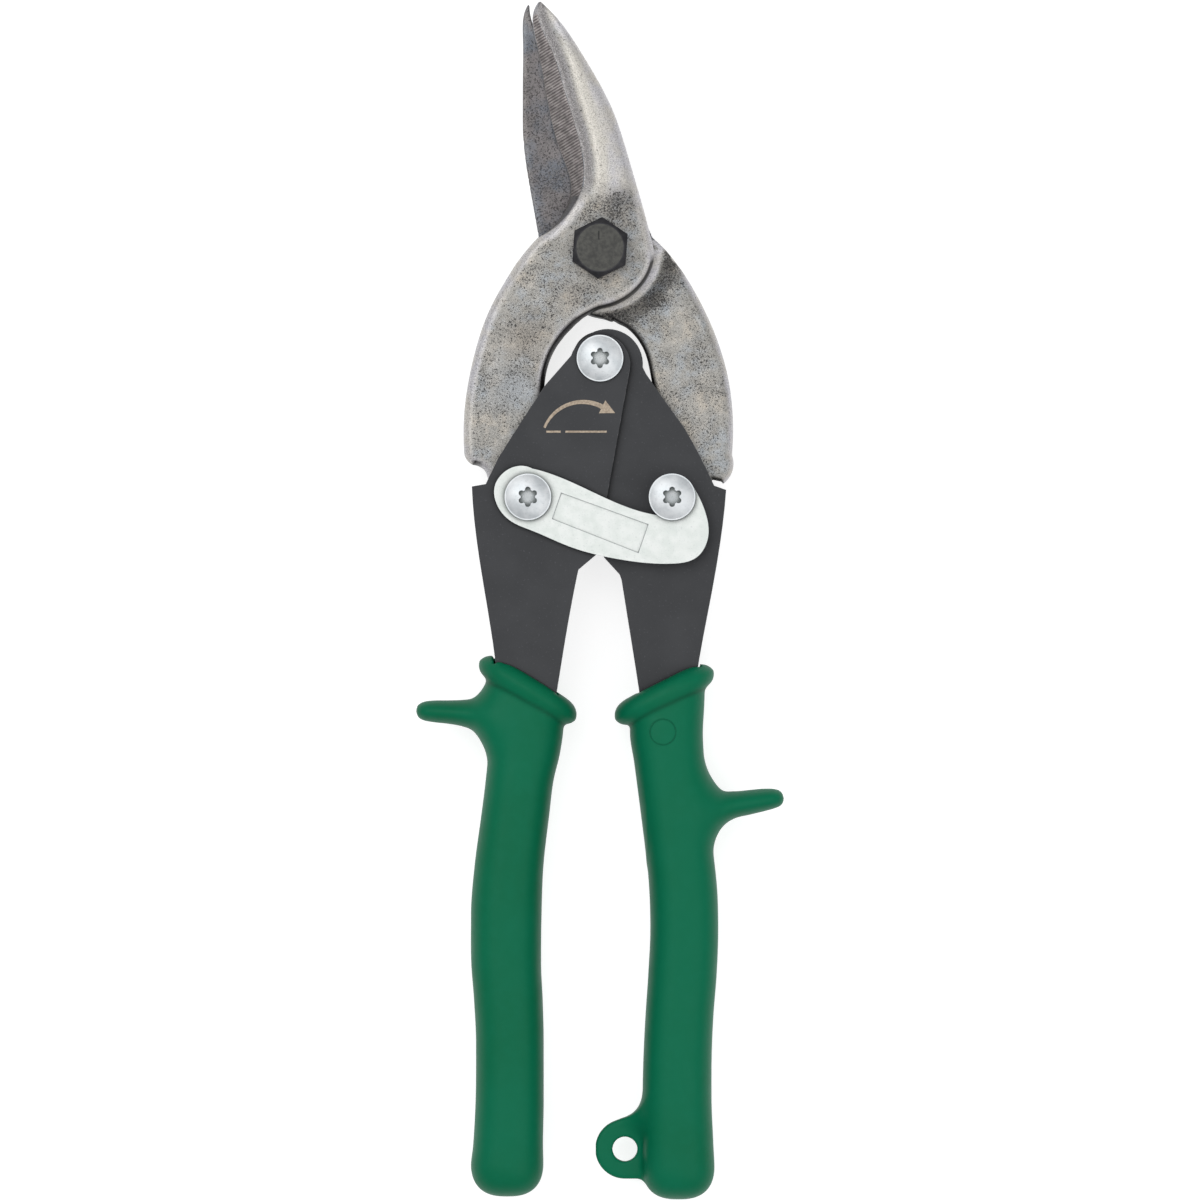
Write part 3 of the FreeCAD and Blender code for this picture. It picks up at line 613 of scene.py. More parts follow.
FACE = 0.03         # the blade's sliding face, off the plane between the blades
FOOT = 2.5          # how far an arm reaches past that plane
CROWN = 5.5         # thickest part of the blade and boss
ARM_TOP = 4.5       # height of an arm's outer face, out beyond the boss
LAND = 0.55         # height of the cutting edge
TIP_THIN = 1.9      # how much thinner the blade is at its tip
BEVEL_FROM = 2.5    # the blade's parts start this far in front of the pivot
VALLEY = 1.3        # depth of the hollow along the ridge
VALLEY_WIDE = 3.4   # width over which it rises again
EYE_RADIUS = 3.05   # hole for the arm's pivot
BOLT_CLEAR = 4.6    # an outline this near the bolt is its hole, and is left out
EYE_CLEAR = 3.5     # the same round the arm's pivot
WALL_BACK = 0.15    # how far a drafted wall stands inside the outline
WALL_ROUND = 0.6
RAMP_FROM = {1: 13.3, -1: 12.8}     # by side: where an arm starts to come down
RAMP_TO = 17.5
TOOTH_PITCH, TOOTH_TALL, TOOTH_LEAN = 0.56, 0.16, math.radians(30)
TEETH_FROM, TEETH_TO = 11.0, 49.0
TOOTH_INSET = 0.12  # plain margin round the teeth
JAW_STEP = 0.34     # grid step of the jaws' meshes


def arm_share(r):
    """0 on the boss and 1 out on the arm."""
    return smoothstep(12.5, 16.4, r)


def softened(values):
    """A grid of values, each replaced by the mean of its nine neighbours."""
    padded = np.pad(values, 1, mode="edge")
    wide, tall = values.shape
    return sum(padded[i:i + wide, j:j + tall] for i in range(3) for j in range(3)) / 9


class Jaw:
    """One jaw as a field. side is 1 for the front jaw, and -1 for the rear jaw, which is
    worked out upside down, so that its outer face is upwards too."""

    def __init__(self, node, side, eye, hole):
        self.node, self.side, self.eye, self.hole = node, side, eye, hole
        centre, pivot = (0.0, 0.0), eye[:2]
        face = without_holes(flat_segments(node, side * FACE), [centre], BOLT_CLEAR)
        arm = without_holes(flat_segments(node, -side * FOOT), [pivot], EYE_CLEAR)
        crown = without_holes(flat_segments(node, side * CROWN), [centre], BOLT_CLEAR)
        outline = outer_of(face, arm)
        middle = crown.mean(axis=1)
        away = distance_to(outline, middle[:, 0], middle[:, 1])
        ridge = crown[(away > 0.3) & (middle[:, 1] > 2.0)]
        ends = outline.reshape(-1, 2)
        self.low, self.high = ends.min(axis=0) - 1.5, ends.max(axis=0) + 1.5
        self.map = Map(self.low, self.high, 0.25)
        x, y = self.map.x, self.map.y
        self.outside = softened(distance_to(outline, x, y)
                                * np.where(in_either(face, arm, x, y), -1, 1))
        slope_x, slope_y = np.gradient(self.outside, self.map.step)
        inwards = (slope_x * side - slope_y) * 0.707
        self.wall = smoothstep(0.15, 0.5, inwards) * smoothstep(-0.5, -3.5, y)
        self.arm = signed(arm, x, y)
        self.crown = signed(crown, x, y)
        self.from_ridge = distance_to(ridge, x, y)
        self.top = self.height_map(x, y)
        self.rounding = self.rounding_map(y)

    def height_map(self, x, y):
        """How high the outer face stands: arm, boss, ridge with its valley, and bevel."""
        r = np.hypot(x, y)
        high = CROWN - (CROWN - ARM_TOP) * smoothstep(14, 26, r) * (y < 0)
        high = high - TIP_THIN * smoothstep(12, 52, y)
        blade = smoothstep(8, 14, y)
        ridge_top = high - VALLEY * blade
        beyond = self.from_ridge
        body = (ridge_top + VALLEY * blade * smoothstep(-0.6, VALLEY_WIDE, beyond)
                - 0.2 * blade * smoothstep(-0.6, 0.0, beyond)
                - 0.035 * blade * np.maximum(beyond - 3.0, 0) ** 2)
        body = np.where(y > BEVEL_FROM, body, high)
        inner = np.maximum(-self.outside, 0)
        outer = np.maximum(self.crown, 0)
        share = inner / np.maximum(inner + outer, 1e-6)
        land = LAND + 0.9 * smoothstep(42, 47, y)
        bevel = land + (ridge_top - land) * share
        return np.where((self.crown > 0) & (y > BEVEL_FROM), bevel, body)

    def rounding_map(self, y):
        """How widely the outer edge is rounded."""
        on_bevel = smoothstep(0.05, 0.6, self.crown) * (y > BEVEL_FROM)
        near_tip = smoothstep(40, 50, y)
        return (2.4 - 1.8 * near_tip) * (1 - on_bevel) + 0.2 * on_bevel

    def field(self, x, y, z):
        z = z * self.side
        read = self.map.read
        outside = read(self.outside, x, y)
        r = np.hypot(x, y)
        top = read(self.top, x, y)
        upper = round_max(outside, z - top, read(self.rounding, x, y))
        # The ramp down to the arm starts clear of the other jaw's boss as it turns.
        foot = -FOOT * smoothstep(RAMP_FROM[self.side], RAMP_TO, r)
        beside = smoothstep(-2.0, -5.0, y) * smoothstep(0.2, 1.6, -x * self.side)
        arm = read(self.arm, x, y) - 1.8 * beside
        lower = np.minimum(FACE - z, np.maximum(arm, foot - z))
        soft = 0.2 + 2.0 * smoothstep(13.5, RAMP_TO, r) * (y < 0)
        # The walls round the handles' opening are drafted towards the side that shows.
        on_arm = arm_share(r)
        steep = 8.0 - 3.0 * on_arm
        if self.side > 0:
            draft = z + (FOOT - 2.0) * on_arm + steep * outside
        else:
            draft = top - 2.0 - z + steep * outside
        draft = draft / np.hypot(1.0, steep) - WALL_BACK - 3.0 * (1 - read(self.wall, x, y))
        if self.side > 0:
            upper = round_max(upper, draft, WALL_ROUND)
        else:
            lower = round_max(lower, draft, WALL_ROUND)
        whole = round_max(upper, lower, soft)
        whole = np.maximum(whole, self.hole - r)
        from_eye = np.hypot(x - self.eye[0], y - self.eye[1])
        return np.maximum(whole, EYE_RADIUS - from_eye)

    def marks(self, points):
        """Where the steel is worn, ground or stained, and where painted highlight and painted
        shade go, from 0 to 1 at each point.
        """
        x, y, z = points.T
        z = z * self.side
        read = self.map.read
        outside, crown = read(self.outside, x, y), read(self.crown, x, y)
        r = np.hypot(x, y)
        beyond = read(self.from_ridge, x, y)
        blade = smoothstep(9, 15, y)
        wide = np.where(z < 0.5, 1.3, 2.3)
        edge = 1 - smoothstep(0.35 * wide, wide, -outside)
        edge = edge * np.where((z < 0.6) & (y > 2.0), 0.3, 1.0)
        near_boss_ridge = (1 - smoothstep(0.8, 2.4, beyond)) * (1 - blade) * (crown < 0.1)
        upper = smoothstep(0.5, 1.5, z)
        # Painted shade along the hollow beside the ridge.
        valley = blade * (1 - smoothstep(1.0, 2.4, beyond)) * (crown < 0.1)
        rim = np.maximum(edge, near_boss_ridge * upper)
        rim = np.maximum(rim, blade * upper * smoothstep(3.6, 5.4, beyond))
        rim = np.maximum(rim, 0.9 * valley * upper)
        # Painted highlight along the blade's crest, fading out towards the tip.
        crest = (blade * upper * smoothstep(1.6, 3.0, beyond)
                 * (1 - smoothstep(4.0, 6.4, beyond)) * (1 - smoothstep(38, 48, y)))
        ground = np.maximum((z < 0.6) * (y > 2.0), (crown > 0) * (y > BEVEL_FROM) * 1.0)
        # A darker patch on the upper face beside the blade's heel gets more pits.
        darker_zone = np.exp(-((x - 3.2) ** 2 / 9 + (y - 9.5) ** 2 / 12)) * upper
        # Painted shade: the arm's face round the other jaw's boss, from about 13 to 20 mm out,
        # gets more pits and no rim.
        below = (z < 0.2) * (y < 0)
        under = smoothstep(12.9, 13.9, r) * (1 - smoothstep(15.0, 20.5, r)) * below
        # Painted highlight: the face out to about 13 mm is paler, showing as a thin light line
        # beside the other jaw's boss.
        rim = np.maximum(rim, (1 - smoothstep(12.7, 13.2, r)) * below)
        # Painted shade on the drafted walls round the opening and on the steep wall at the
        # blade's heel.
        width = 0.72 + 0.28 * arm_share(r)
        wall = read(self.wall, x, y) * (1 - smoothstep(width - 0.15, width + 0.15, -outside))
        heel = (crown > 0.15) * (1 - smoothstep(10.5, 14.0, y)) * (y > BEVEL_FROM) * 0.6

        def near(px, py, reach):
            return np.exp(-((x - px) ** 2 + (y - py) ** 2) / reach ** 2)
        tint = near(-15.5, -19, 5.0) + 0.6 * near(-6, -9, 4.0) + 0.8 * near(4, 9, 3.5)
        tint = (tint - near(-18, -29, 5.0)) * (self.side > 0)
        return {"rim": rim * (1 - under), "crest": crest, "wall": np.maximum(wall, heel),
                "brown": np.clip(tint, 0, 1), "blue": np.clip(-tint, 0, 1),
                "valley": valley * upper * smoothstep(-0.35, 0.25, beyond),
                "ground": np.clip(ground * (1 - 0.6 * edge), 0, 1),
                "darker_zone": np.clip(darker_zone + under, 0, 1)}

    def build(self):
        # The sliding face lies between two layers of the grid, not on one.
        sliding_face = FACE * self.side
        low = [*self.low, sliding_face - 17.4 * JAW_STEP]
        high = [*self.high, sliding_face + 17.6 * JAW_STEP]
        if self.side < 0:
            low[2] -= 0.2 * JAW_STEP
        points, faces = surface(self.field, low, high, JAW_STEP)
        body = NODES[self.node]["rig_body"]
        piece = make_piece(self.node + "_steel", points, faces, body, STEEL,
                           marks=self.marks(points))
        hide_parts(self.node)
        self.teeth(body)
        return piece

    def teeth(self, body):
        """Fine grooves across the bevel, each at TOOTH_LEAN to the x axis."""
        columns, steps = 10, 8
        across = self.side * np.array([math.cos(TOOTH_LEAN), math.sin(TOOTH_LEAN)])
        climb = np.array([-math.sin(TOOTH_LEAN), math.cos(TOOTH_LEAN)])
        reach = np.arange(-30, 30, 0.04)
        rows = []
        for v in np.arange(5, 60, TOOTH_PITCH / steps):
            x = across[0] * reach + climb[0] * v
            y = across[1] * reach + climb[1] * v
            good = ((self.map.read(self.outside, x, y) < -TOOTH_INSET)
                    & (self.map.read(self.crown, x, y) > TOOTH_INSET)
                    & (y > TEETH_FROM) & (y < TEETH_TO))
            runs = np.flatnonzero(good)
            if len(runs) < 12:
                continue
            first, last = reach[runs[0]], reach[runs[-1]]
            u = np.linspace(first, last, columns)
            x, y = across[0] * u + climb[0] * v, across[1] * u + climb[1] * v
            phase = (v / TOOTH_PITCH) % 1.0
            crest = 1 - abs(2 * phase - 1)
            ends = np.clip(np.minimum(u - first, last - u) / 0.5, 0, 1)
            base = self.map.read(self.top, x, y)
            lift = TOOTH_TALL * crest * ends
            rows.append((x, y, base, lift, np.full(columns, 1 - crest)))
        top = np.array([np.stack([x, y, base + 0.02 + lift], axis=1)
                        for x, y, base, lift, _ in rows])
        under = np.array([np.stack([x, y, base - 0.12], axis=1)
                          for x, y, base, _, _ in rows])
        count = len(rows)
        points = np.concatenate([top.reshape(-1, 3), under.reshape(-1, 3)])
        points[:, 2] *= self.side
        grid = np.arange(count * columns).reshape(count, columns)
        quads = [np.stack([grid[:-1, :-1], grid[:-1, 1:], grid[1:, 1:], grid[1:, :-1]],
                          axis=-1).reshape(-1, 4)]
        quads.append(quads[0][:, ::-1] + count * columns)
        border = np.concatenate([grid[0], grid[1:, -1], grid[-1, -2::-1], grid[-2:0:-1, 0]])
        after = np.roll(border, -1)
        quads.append(np.stack([border, border + count * columns,
                               after + count * columns, after], axis=-1))
        # groove is 1 in the grooves, where the material paints shade.
        groove = np.concatenate([row[4] for row in rows])
        piece = make_piece(self.node + "_teeth", points, np.concatenate(quads), body, TEETH,
                           smooth=False,
                           marks={"groove": np.concatenate([groove, groove])})
        face_outwards(piece)
        return piece


Jaw("front_jaw", 1, ARM_LEFT, 3.95).build()
Jaw("rear_jaw", -1, ARM_RIGHT, 4.15).build()


# ---- grips ----

GRIP_HALF = 9.2     # half the grip's thickness
NECK_THIN = 0.6     # how much thinner that half is under the collar
SECTION = 2.7       # power of the cross-section's rounded square
BUTT, BUTT_SECTION = 7.6, 2.6       # length and power of the rounded end
COLLAR_HALF = 10.0  # half the collar's thickness
COLLAR_TALL = 2.15  # half its length along the grip, without the bead
BEAD = 1.1          # how far its bead stands towards the jaws, in the middle
TAB_HALF, TAB_ROUND = 1.75, 0.8     # half the tab's thickness, and the rounding of its edges
HANG_HOLE = 2.6     # radius of the hole in the tab
HANDLE_GAP = 0.4    # between the handle and the inside of the grip
HANDLE_DEPTH = 6.0  # how far behind the collar's middle that space goes
GRIP_STEP = 0.5     # grid step of the grips' meshes


def smooth_line(stations, at):
    """A smooth curve through (place, value, ...) rows, level at its peaks and dips."""
    rows = np.array(sorted(stations))
    place, values = rows[:, 0], rows[:, 1:]
    gaps = np.diff(place)
    slopes = np.diff(values, axis=0) / gaps[:, None]
    tangents = np.vstack([slopes[:1], (slopes[1:] + slopes[:-1]) / 2, slopes[-1:]])
    flat = np.vstack([slopes[:1], slopes[1:] * slopes[:-1], slopes[-1:]])
    tangents[1:-1][flat[1:-1] <= 0] = 0
    at = np.clip(at, place[0], place[-1])
    i = np.clip(np.searchsorted(place, at) - 1, 0, len(gaps) - 1)
    t = (at - place[i]) / gaps[i]
    result = []
    for column in range(values.shape[1]):
        a, b = values[i, column], values[i + 1, column]
        ta, tb = tangents[i, column] * gaps[i], tangents[i + 1, column] * gaps[i]
        result.append((2 * t ** 3 - 3 * t ** 2 + 1) * a + (t ** 3 - 2 * t ** 2 + t) * ta
                      + (3 * t ** 2 - 2 * t ** 3) * b + (t ** 3 - t ** 2) * tb)
    return result


# Along the grip: y, then x of its left and right sides.
LEFT_SIDES = [
    (-88.0, -23.2, -8.9), (-94.0, -23.5, -7.9), (-99.0, -23.4, -7.6), (-105.0, -23.4, -8.3),
    (-111.0, -23.9, -9.7), (-118.2, -24.8, -10.6), (-128.7, -26.2, -11.8),
    (-139.0, -26.95, -12.2), (-149.0, -26.9, -12.3), (-157.0, -26.3, -11.95),
    (-166.0, -25.9, -11.75), (-178.0, -26.0, -11.75), (-187.0, -26.5, -11.9),
    (-192.0, -27.0, -11.8), (-198.0, -27.0, -11.8)]
RIGHT_SIDES = [
    (-88.0, 8.0, 22.0), (-95.0, 6.5, 21.8), (-101.0, 6.25, 21.5), (-107.0, 7.1, 21.8),
    (-113.0, 7.9, 22.3), (-120.0, 8.8, 22.9), (-127.0, 9.7, 23.8), (-134.0, 10.3, 24.5),
    (-142.0, 10.5, 24.7), (-151.0, 10.1, 24.4), (-160.0, 9.5, 23.7), (-168.0, 9.1, 23.35),
    (-177.0, 8.9, 23.3), (-186.0, 8.9, 23.65), (-193.0, 8.8, 23.95), (-199.0, 8.8, 23.95)]
# Along the spur: x, then y of its lower and upper edges, and half its thickness.
LEFT_SPUR = [
    (-38.4, -96.6, -96.2, 0.5), (-38.2, -97.3, -95.5, 1.9), (-37.7, -97.95, -94.95, 3.1),
    (-36.8, -98.4, -94.5, 4.0), (-35.0, -98.75, -94.25, 4.6), (-31.5, -99.15, -94.2, 5.2),
    (-28.6, -99.7, -94.1, 5.7), (-26.4, -100.6, -93.8, 6.3), (-24.6, -102.3, -92.9, 7.0),
    (-22.5, -104.5, -91.5, 7.4), (-19.5, -105.4, -91.0, 6.6), (-15.0, -103.5, -93.0, 3.6)]
RIGHT_SPUR = [
    (13.0, -123.0, -111.0, 3.6), (18.0, -125.3, -108.6, 6.6), (21.0, -124.5, -109.2, 7.4),
    (23.2, -122.8, -111.2, 7.0), (25.4, -120.6, -113.0, 6.3), (28.0, -118.95, -113.2, 5.7),
    (31.5, -118.05, -112.9, 5.2), (34.6, -117.3, -112.65, 4.6), (36.8, -116.65, -112.8, 4.0),
    (37.7, -116.2, -113.2, 3.1), (38.2, -115.6, -113.9, 1.9), (38.4, -115.0, -114.6, 0.5)]


class Grip:
    """One grip as a field: a rounded bar with a spur, a collar and perhaps a hanging tab.
    collar is its centre, half its width and its tilt; tab is its centre and radius."""

    def __init__(self, node, handle, sides, spur, collar, end, tab=None):
        self.node, self.sides, self.spur, self.collar = node, sides, spur, collar
        self.end, self.tab = end, tab
        lean = math.radians(collar[2])
        self.across = np.array([math.cos(lean), math.sin(lean)])
        self.up = np.array([-math.sin(lean), math.cos(lean)])
        low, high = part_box(node)
        self.low, self.high = local(low), local(high)
        self.map = Map(self.low[:2] - 2, self.high[:2] + 2, 0.3)
        self.flange_low, self.flange_high = (local(corner)[2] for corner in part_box(handle))
        outline = flat_segments(handle, round(float(self.flange_high), 3))
        outline = without_holes(outline, [HANDLE, ARM_LEFT, ARM_RIGHT], 3.6)
        self.handle = signed(outline, self.map.x, self.map.y)

    def body(self, x, y, z):
        left, right = smooth_line(self.sides, y)
        tall = GRIP_HALF - NECK_THIN * smoothstep(-100, -90, y)
        half = (right - left) / 2
        across = np.abs(x - (left + right) / 2) / half
        rho = (across ** SECTION + (np.abs(z) / tall) ** SECTION) ** (1 / SECTION)
        run = np.clip((self.end + BUTT - y) / BUTT, 0, 1)
        scale = (1 - run ** BUTT_SECTION) ** (1 / BUTT_SECTION)
        whole = (rho - scale) * np.minimum(half, tall)
        whole = np.maximum(whole, self.end - y)
        return np.maximum(whole, self.above_collar(x, y))

    def above_collar(self, x, y):
        """How far a place is towards the jaws from the collar's middle."""
        centre = self.collar[0]
        return (x - centre[0]) * self.up[0] + (y - centre[1]) * self.up[1]

    def horn(self, x, y, z):
        low, high, half = smooth_line(self.spur, x)
        tall = (high - low) / 2
        rho = np.sqrt(((y - (low + high) / 2) / tall) ** 2 + (z / half) ** 2)
        whole = (rho - 1) * np.minimum(tall, half)
        first, last = self.spur[0][0], self.spur[-1][0]
        return np.maximum(whole, np.maximum(first - x, x - last))

    def rim(self, x, y, z):
        (cx, cy), half, _ = self.collar
        u = np.abs((x - cx) * self.across[0] + (y - cy) * self.across[1])
        v = self.above_collar(x, y)
        raised = BEAD - 0.4 * np.minimum(u / half, 1.0) ** 4
        v = np.maximum(v - COLLAR_TALL - raised, -v - COLLAR_TALL)
        n = 2.5
        rho = ((u / half) ** n + (np.abs(z) / COLLAR_HALF) ** n) ** (1 / n)
        return round_max((rho - 1) * COLLAR_HALF, v, 3.6)

    def field(self, x, y, z):
        bulk = round_min(self.body(x, y, z), self.horn(x, y, z), 4.5)
        whole = round_min(bulk, self.rim(x, y, z), 0.9)
        if self.tab is not None:
            whole = self.with_tab(whole, x, y, z)
        slot = np.maximum(self.flange_low - HANDLE_GAP - z, z - self.flange_high - HANDLE_GAP)
        slot = np.maximum(self.map.read(self.handle, x, y) - HANDLE_GAP, slot)
        slot = np.maximum(slot, -self.above_collar(x, y) - HANDLE_DEPTH)
        return np.maximum(whole, -slot)

    def with_tab(self, whole, x, y, z):
        """The hanging tab, a holed disc on a web, with a wide fillet towards the jaws."""
        tab_x, tab_y, radius = self.tab
        r = np.hypot(x - tab_x, y - tab_y)
        web = np.maximum(np.abs(y - tab_y) - radius, tab_x - x)
        flat = np.minimum(r - radius, np.maximum(web, x - tab_x - 6.0))
        disc = round_max(flat, np.abs(z) - TAB_HALF, TAB_ROUND)
        blended = 1.6 + 5.0 * smoothstep(-187.0, -181.0, y)
        return np.maximum(round_min(whole, disc, blended), HANG_HOLE - r)

    def build(self):
        points, faces = surface(self.field, self.low - 1.0, self.high + 1.0, GRIP_STEP)
        points = np.clip(points, self.low, self.high)
        x, y, z = points.T
        # Painted shade along the crease where the collar joins the grip's body.
        crease_shade = np.exp(-((self.rim(x, y, z) - self.body(x, y, z)) / 0.35) ** 2)
        crease_shade = crease_shade * (self.above_collar(x, y) < 0) * (self.rim(x, y, z) < 1.5) * 0.7
        body = NODES[self.node]["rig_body"]
        piece = make_piece(self.node + "_vinyl", points, faces, body, GRIP,
                           marks={"crease_shade": crease_shade})
        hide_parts(self.node)
        return piece

    def surface_height(self, x, y):
        """The height of the grip's upper face at a place."""
        z = np.linspace(11, 0, 400)
        inside = self.field(np.full(400, x), np.full(400, y), z) < 0
        return z[np.argmax(inside)]


left = Grip("left_grip", "left_handle", LEFT_SIDES, LEFT_SPUR,
            ((-15.3, -92.4), 11.9, -31.7), -197.8)
right = Grip("right_grip", "right_handle", RIGHT_SIDES, RIGHT_SPUR,
             ((13.6, -93.4), 11.6, 26.7), -198.4, tab=(5.2, -187.9, 6.2))
left.build()
right.build()


def tube(line, radius, sides=14, closed=False):
    """A round wire along a line of points: (points, faces), with flat ends."""
    line = np.asarray(line, float)
    count = len(line)
    if closed:
        ahead = np.roll(line, -1, axis=0) - np.roll(line, 1, axis=0)
    else:
        ahead = np.gradient(line, axis=0)
    ahead /= np.linalg.norm(ahead, axis=1)[:, None]
    side = np.cross(ahead, [0, 0, 1])
    side /= np.linalg.norm(side, axis=1)[:, None]
    up = np.cross(side, ahead)
    angle = np.linspace(0, 2 * np.pi, sides, endpoint=False)
    ring = (side[:, None] * np.cos(angle)[None, :, None]
            + up[:, None] * np.sin(angle)[None, :, None])
    points = (line[:, None] + radius * ring).reshape(-1, 3)
    faces = []
    last = count if closed else count - 1
    for i in range(last):
        a, b = i * sides, ((i + 1) % count) * sides
        for j in range(sides):
            k = (j + 1) % sides
            faces.append((a + j, a + k, b + k, b + j))
    if not closed:
        faces.append(tuple(range(sides))[::-1])
        faces.append(tuple((count - 1) * sides + j for j in range(sides)))
    return points, faces


def moulded_ring(grip, centre, radius, wire):
    """A raised ring that follows the grip's upper face."""
    turn = np.linspace(0, 2 * np.pi, 48, endpoint=False)
    x, y = centre[0] + radius * np.cos(turn), centre[1] + radius * np.sin(turn)
    z = [grip.surface_height(px, py) - 0.02 for px, py in zip(x, y)]
    points, faces = tube(np.stack([x, y, z], axis=1), wire, 8, closed=True)
    # The ring is darkened a little with the same painted shade.
    piece = make_piece("grip_ring", points, faces, "right_handle", GRIP,
                       marks={"crease_shade": np.full(len(points), 0.35)})
    face_outwards(piece)


moulded_ring(right, (13.1, -100.7), 2.65, 0.16)


# ---- return spring ----

WIRE_RADIUS, COIL_RADIUS, COIL_PITCH, COIL_TURNS = 0.65, 5.1, 1.38, 2.48
LEG_SPACE = 0.05    # between the legs' ends and the foot of the spring's box
spring_low, spring_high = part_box("return_spring")
start = math.pi * (2.5 - COIL_TURNS)
rise = COIL_PITCH * COIL_TURNS
turn = np.linspace(0, 2 * np.pi * COIL_TURNS, 120)
coil = np.stack([COIL_RADIUS * np.cos(start + turn),
                 HANDLE[1] + COIL_RADIUS * np.sin(start + turn),
                 rise * (turn / turn[-1] - 0.5)], axis=1)


def leg(root, way, reach, level):
    """A straight end of the wire, from a millimetre past the coil's own end."""
    run = np.linspace(1, reach, 24)[:, None]
    return np.hstack([root[:2] + run * way, np.full((24, 1), level)])


foot_y = local(spring_low)[1]
right_way = np.array([math.sin(start), -math.cos(start)])
left_way = right_way * [-1, 1]
drop = HANDLE[1] + COIL_RADIUS * math.sin(start) - foot_y - LEG_SPACE
leg_reach = drop / abs(right_way[1])
right_leg = leg(coil[0], right_way, leg_reach, -rise / 2)
left_leg = leg(coil[-1], left_way, leg_reach, rise / 2)
points, faces = tube(np.vstack([right_leg[::-1], coil, left_leg]), WIRE_RADIUS)
points = np.clip(points, local(spring_low), local(spring_high))
spring = mesh_object("spring_wire", points, faces, WIRE)
face_outwards(spring)
tuple(to_metres((-4.5, HANDLE[1], 0)))
tuple(to_metres((4.5, HANDLE[1], 0)))
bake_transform(spring)
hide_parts("return_spring")


# ---- a plain mark etched on the left plate: an arrow that turns right, over a broken line ----

def ribbon(name, centre_line, widths, level, body):
    """A flat strip along a line, thick enough to stand just off the plate."""
    line = np.asarray(centre_line, float)
    ahead = np.gradient(line, axis=0)
    ahead /= np.linalg.norm(ahead, axis=1)[:, None]
    side = np.stack([-ahead[:, 1], ahead[:, 0]], axis=1) * (np.asarray(widths)[:, None] / 2)
    edge = np.concatenate([line + side, (line - side)[::-1]])
    return plate(name, edge, level, body)


def plate(name, edge, level, body):
    """A thin flat piece inside an edge, standing 0.05 mm off the plate below it."""
    count = len(edge)
    points = np.concatenate([np.column_stack([edge, np.full(count, level + 0.05)]),
                             np.column_stack([edge, np.full(count, level - 0.03)])])
    faces = [tuple(range(count)), tuple(range(2 * count - 1, count - 1, -1))]
    faces += [(i, (i + 1) % count, (i + 1) % count + count, i + count) for i in range(count)]
    piece = make_piece(name, points, faces, body, INK, smooth=False)
    face_outwards(piece)
    return piece


PLATE_TOP = local(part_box("left_handle")[1])[2]
BEND_X, BEND_Y, BEND_RADIUS = -3.6, -40.6, 8.6
LINE_Y, LINE_WIDE = -38.2, 0.42
sweep = np.radians(np.linspace(158, 62, 24))
bend = np.stack([BEND_X + BEND_RADIUS * np.cos(sweep), BEND_Y + BEND_RADIUS * np.sin(sweep)],
                axis=1)
ribbon("etched_arrow_shaft", bend, np.linspace(0.5, 1.0, 24), PLATE_TOP, "left_handle")
end, before = bend[-1], bend[-2]
way = (end - before) / np.linalg.norm(end - before)
flank = np.array([-way[1], way[0]])
plate("etched_arrow_head", np.array([end + flank * 1.5, end - flank * 1.5, end + way * 3.0]),
      PLATE_TOP, "left_handle")
for i, (x0, x1) in enumerate([(-11.2, -8.2), (-7.2, 1.4)]):
    ribbon("etched_line_%d" % i, [(x0, LINE_Y), ((x0 + x1) / 2, LINE_Y), (x1, LINE_Y)],
           [LINE_WIDE] * 3, PLATE_TOP, "left_handle")


# ---- the CAD nodes that stay ----

for material, names in NODE_MATERIAL.items():
    for name in names:
        NODES[name].data.materials.clear()
        NODES[name].data.materials.append(material)


# ---- table, light and camera ----

scene = bpy.context.scene
TABLE_HALF = 3.0
CAMERA_HIGH, VIEW_WIDE = 2.0, 0.2507    # metres above the blades, and the width in view
SENSOR_WIDE = 36.0

ground = bpy.data.meshes.new("table_top")
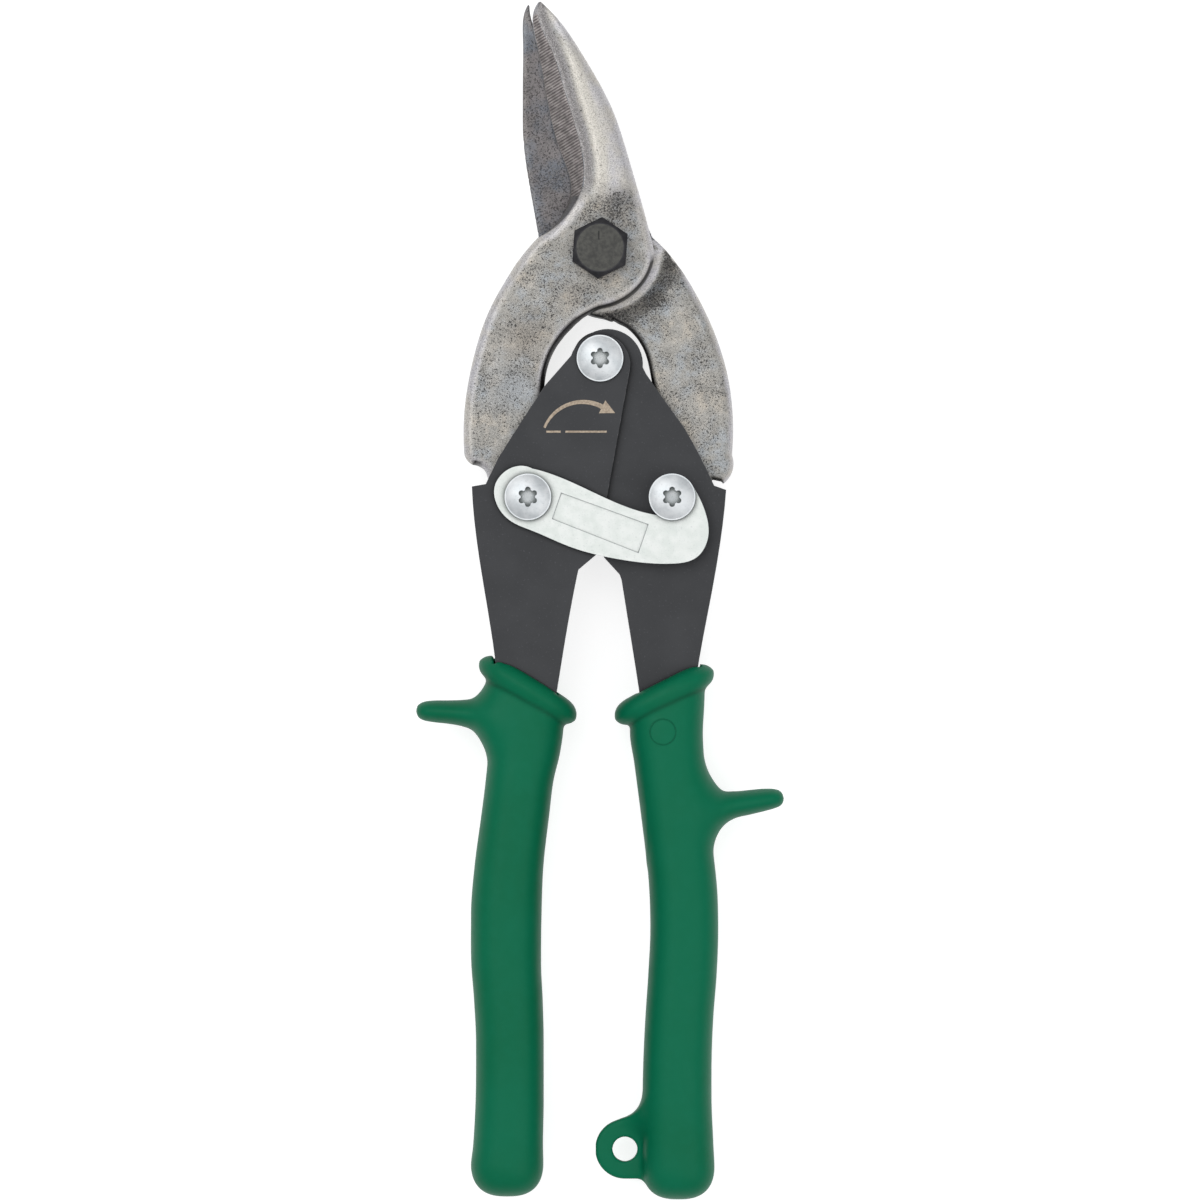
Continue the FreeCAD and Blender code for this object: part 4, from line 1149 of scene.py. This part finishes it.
# The tool rests on its nut, so the table stays a hair below that face.
depth = float(cad_box[0][2]) - 0.05 * MM
ground.from_pydata([(x * TABLE_HALF, y * TABLE_HALF, depth)
                    for x, y in [(-1, -1), (1, -1), (1, 1), (-1, 1)]], [], [(0, 1, 2, 3)])
table = bpy.data.objects.new("table_top", ground)
scene.collection.objects.link(table)
top = Shader("pale_table", Roughness=0.9)
top.shader.inputs["Specular IOR Level"].default_value = 0.0
top.shader.inputs["Emission Color"].default_value = (1, 1, 1, 1)
top.shader.inputs["Emission Strength"].default_value = 0.75
top.colour(top.mix(top.noise(60.0, 2.0), rgb(176, 176, 176), rgb(172, 172, 172)))
ground.materials.append(top.material)

world = bpy.data.worlds.new("studio")
scene.world = world
world.use_nodes = True
tree = world.node_tree
place = tree.nodes.new("ShaderNodeTexCoord")
split = tree.nodes.new("ShaderNodeSeparateXYZ")
fade = tree.nodes.new("ShaderNodeMapRange")
fade.interpolation_type = "SMOOTHSTEP"
fade.inputs["From Min"].default_value = 0.0
fade.inputs["From Max"].default_value = 0.9
blend = tree.nodes.new("ShaderNodeMix")
blend.data_type = "RGBA"
blend.inputs[6].default_value = (0.42, 0.42, 0.44, 1)
blend.inputs[7].default_value = (0.96, 0.96, 0.98, 1)
tree.links.new(place.outputs["Generated"], split.inputs[0])
tree.links.new(split.outputs["Z"], fade.inputs["Value"])
tree.links.new(fade.outputs["Result"], blend.inputs["Factor"])
tree.links.new(blend.outputs[2], tree.nodes["Background"].inputs["Color"])
tree.nodes["Background"].inputs["Strength"].default_value = 0.8


def softbox(name, position, size, power):
    lamp = bpy.data.lights.new(name, "AREA")
    lamp.energy, lamp.size = power, size
    light = bpy.data.objects.new(name, lamp)
    light.location = position
    aim = Vector((0, 0, 0)) - Vector(position)
    light.rotation_euler = aim.to_track_quat("-Z", "Y").to_euler()
    scene.collection.objects.link(light)


softbox("key", (-0.35, 0.30, 0.95), 0.8, 5.0)
softbox("fill", (0.5, -0.25, 0.9), 0.9, 3.0)

lens = bpy.data.cameras.new("camera")
camera = bpy.data.objects.new("camera", lens)
scene.collection.objects.link(camera)
scene.camera = camera
camera.location = (0.0, 0.0, MAIN[2] + CAMERA_HIGH)
lens.sensor_width = SENSOR_WIDE
lens.lens = SENSOR_WIDE * CAMERA_HIGH / VIEW_WIDE
lens.clip_start, lens.clip_end = 0.01, 20.0
scene.view_settings.view_transform = "Standard"
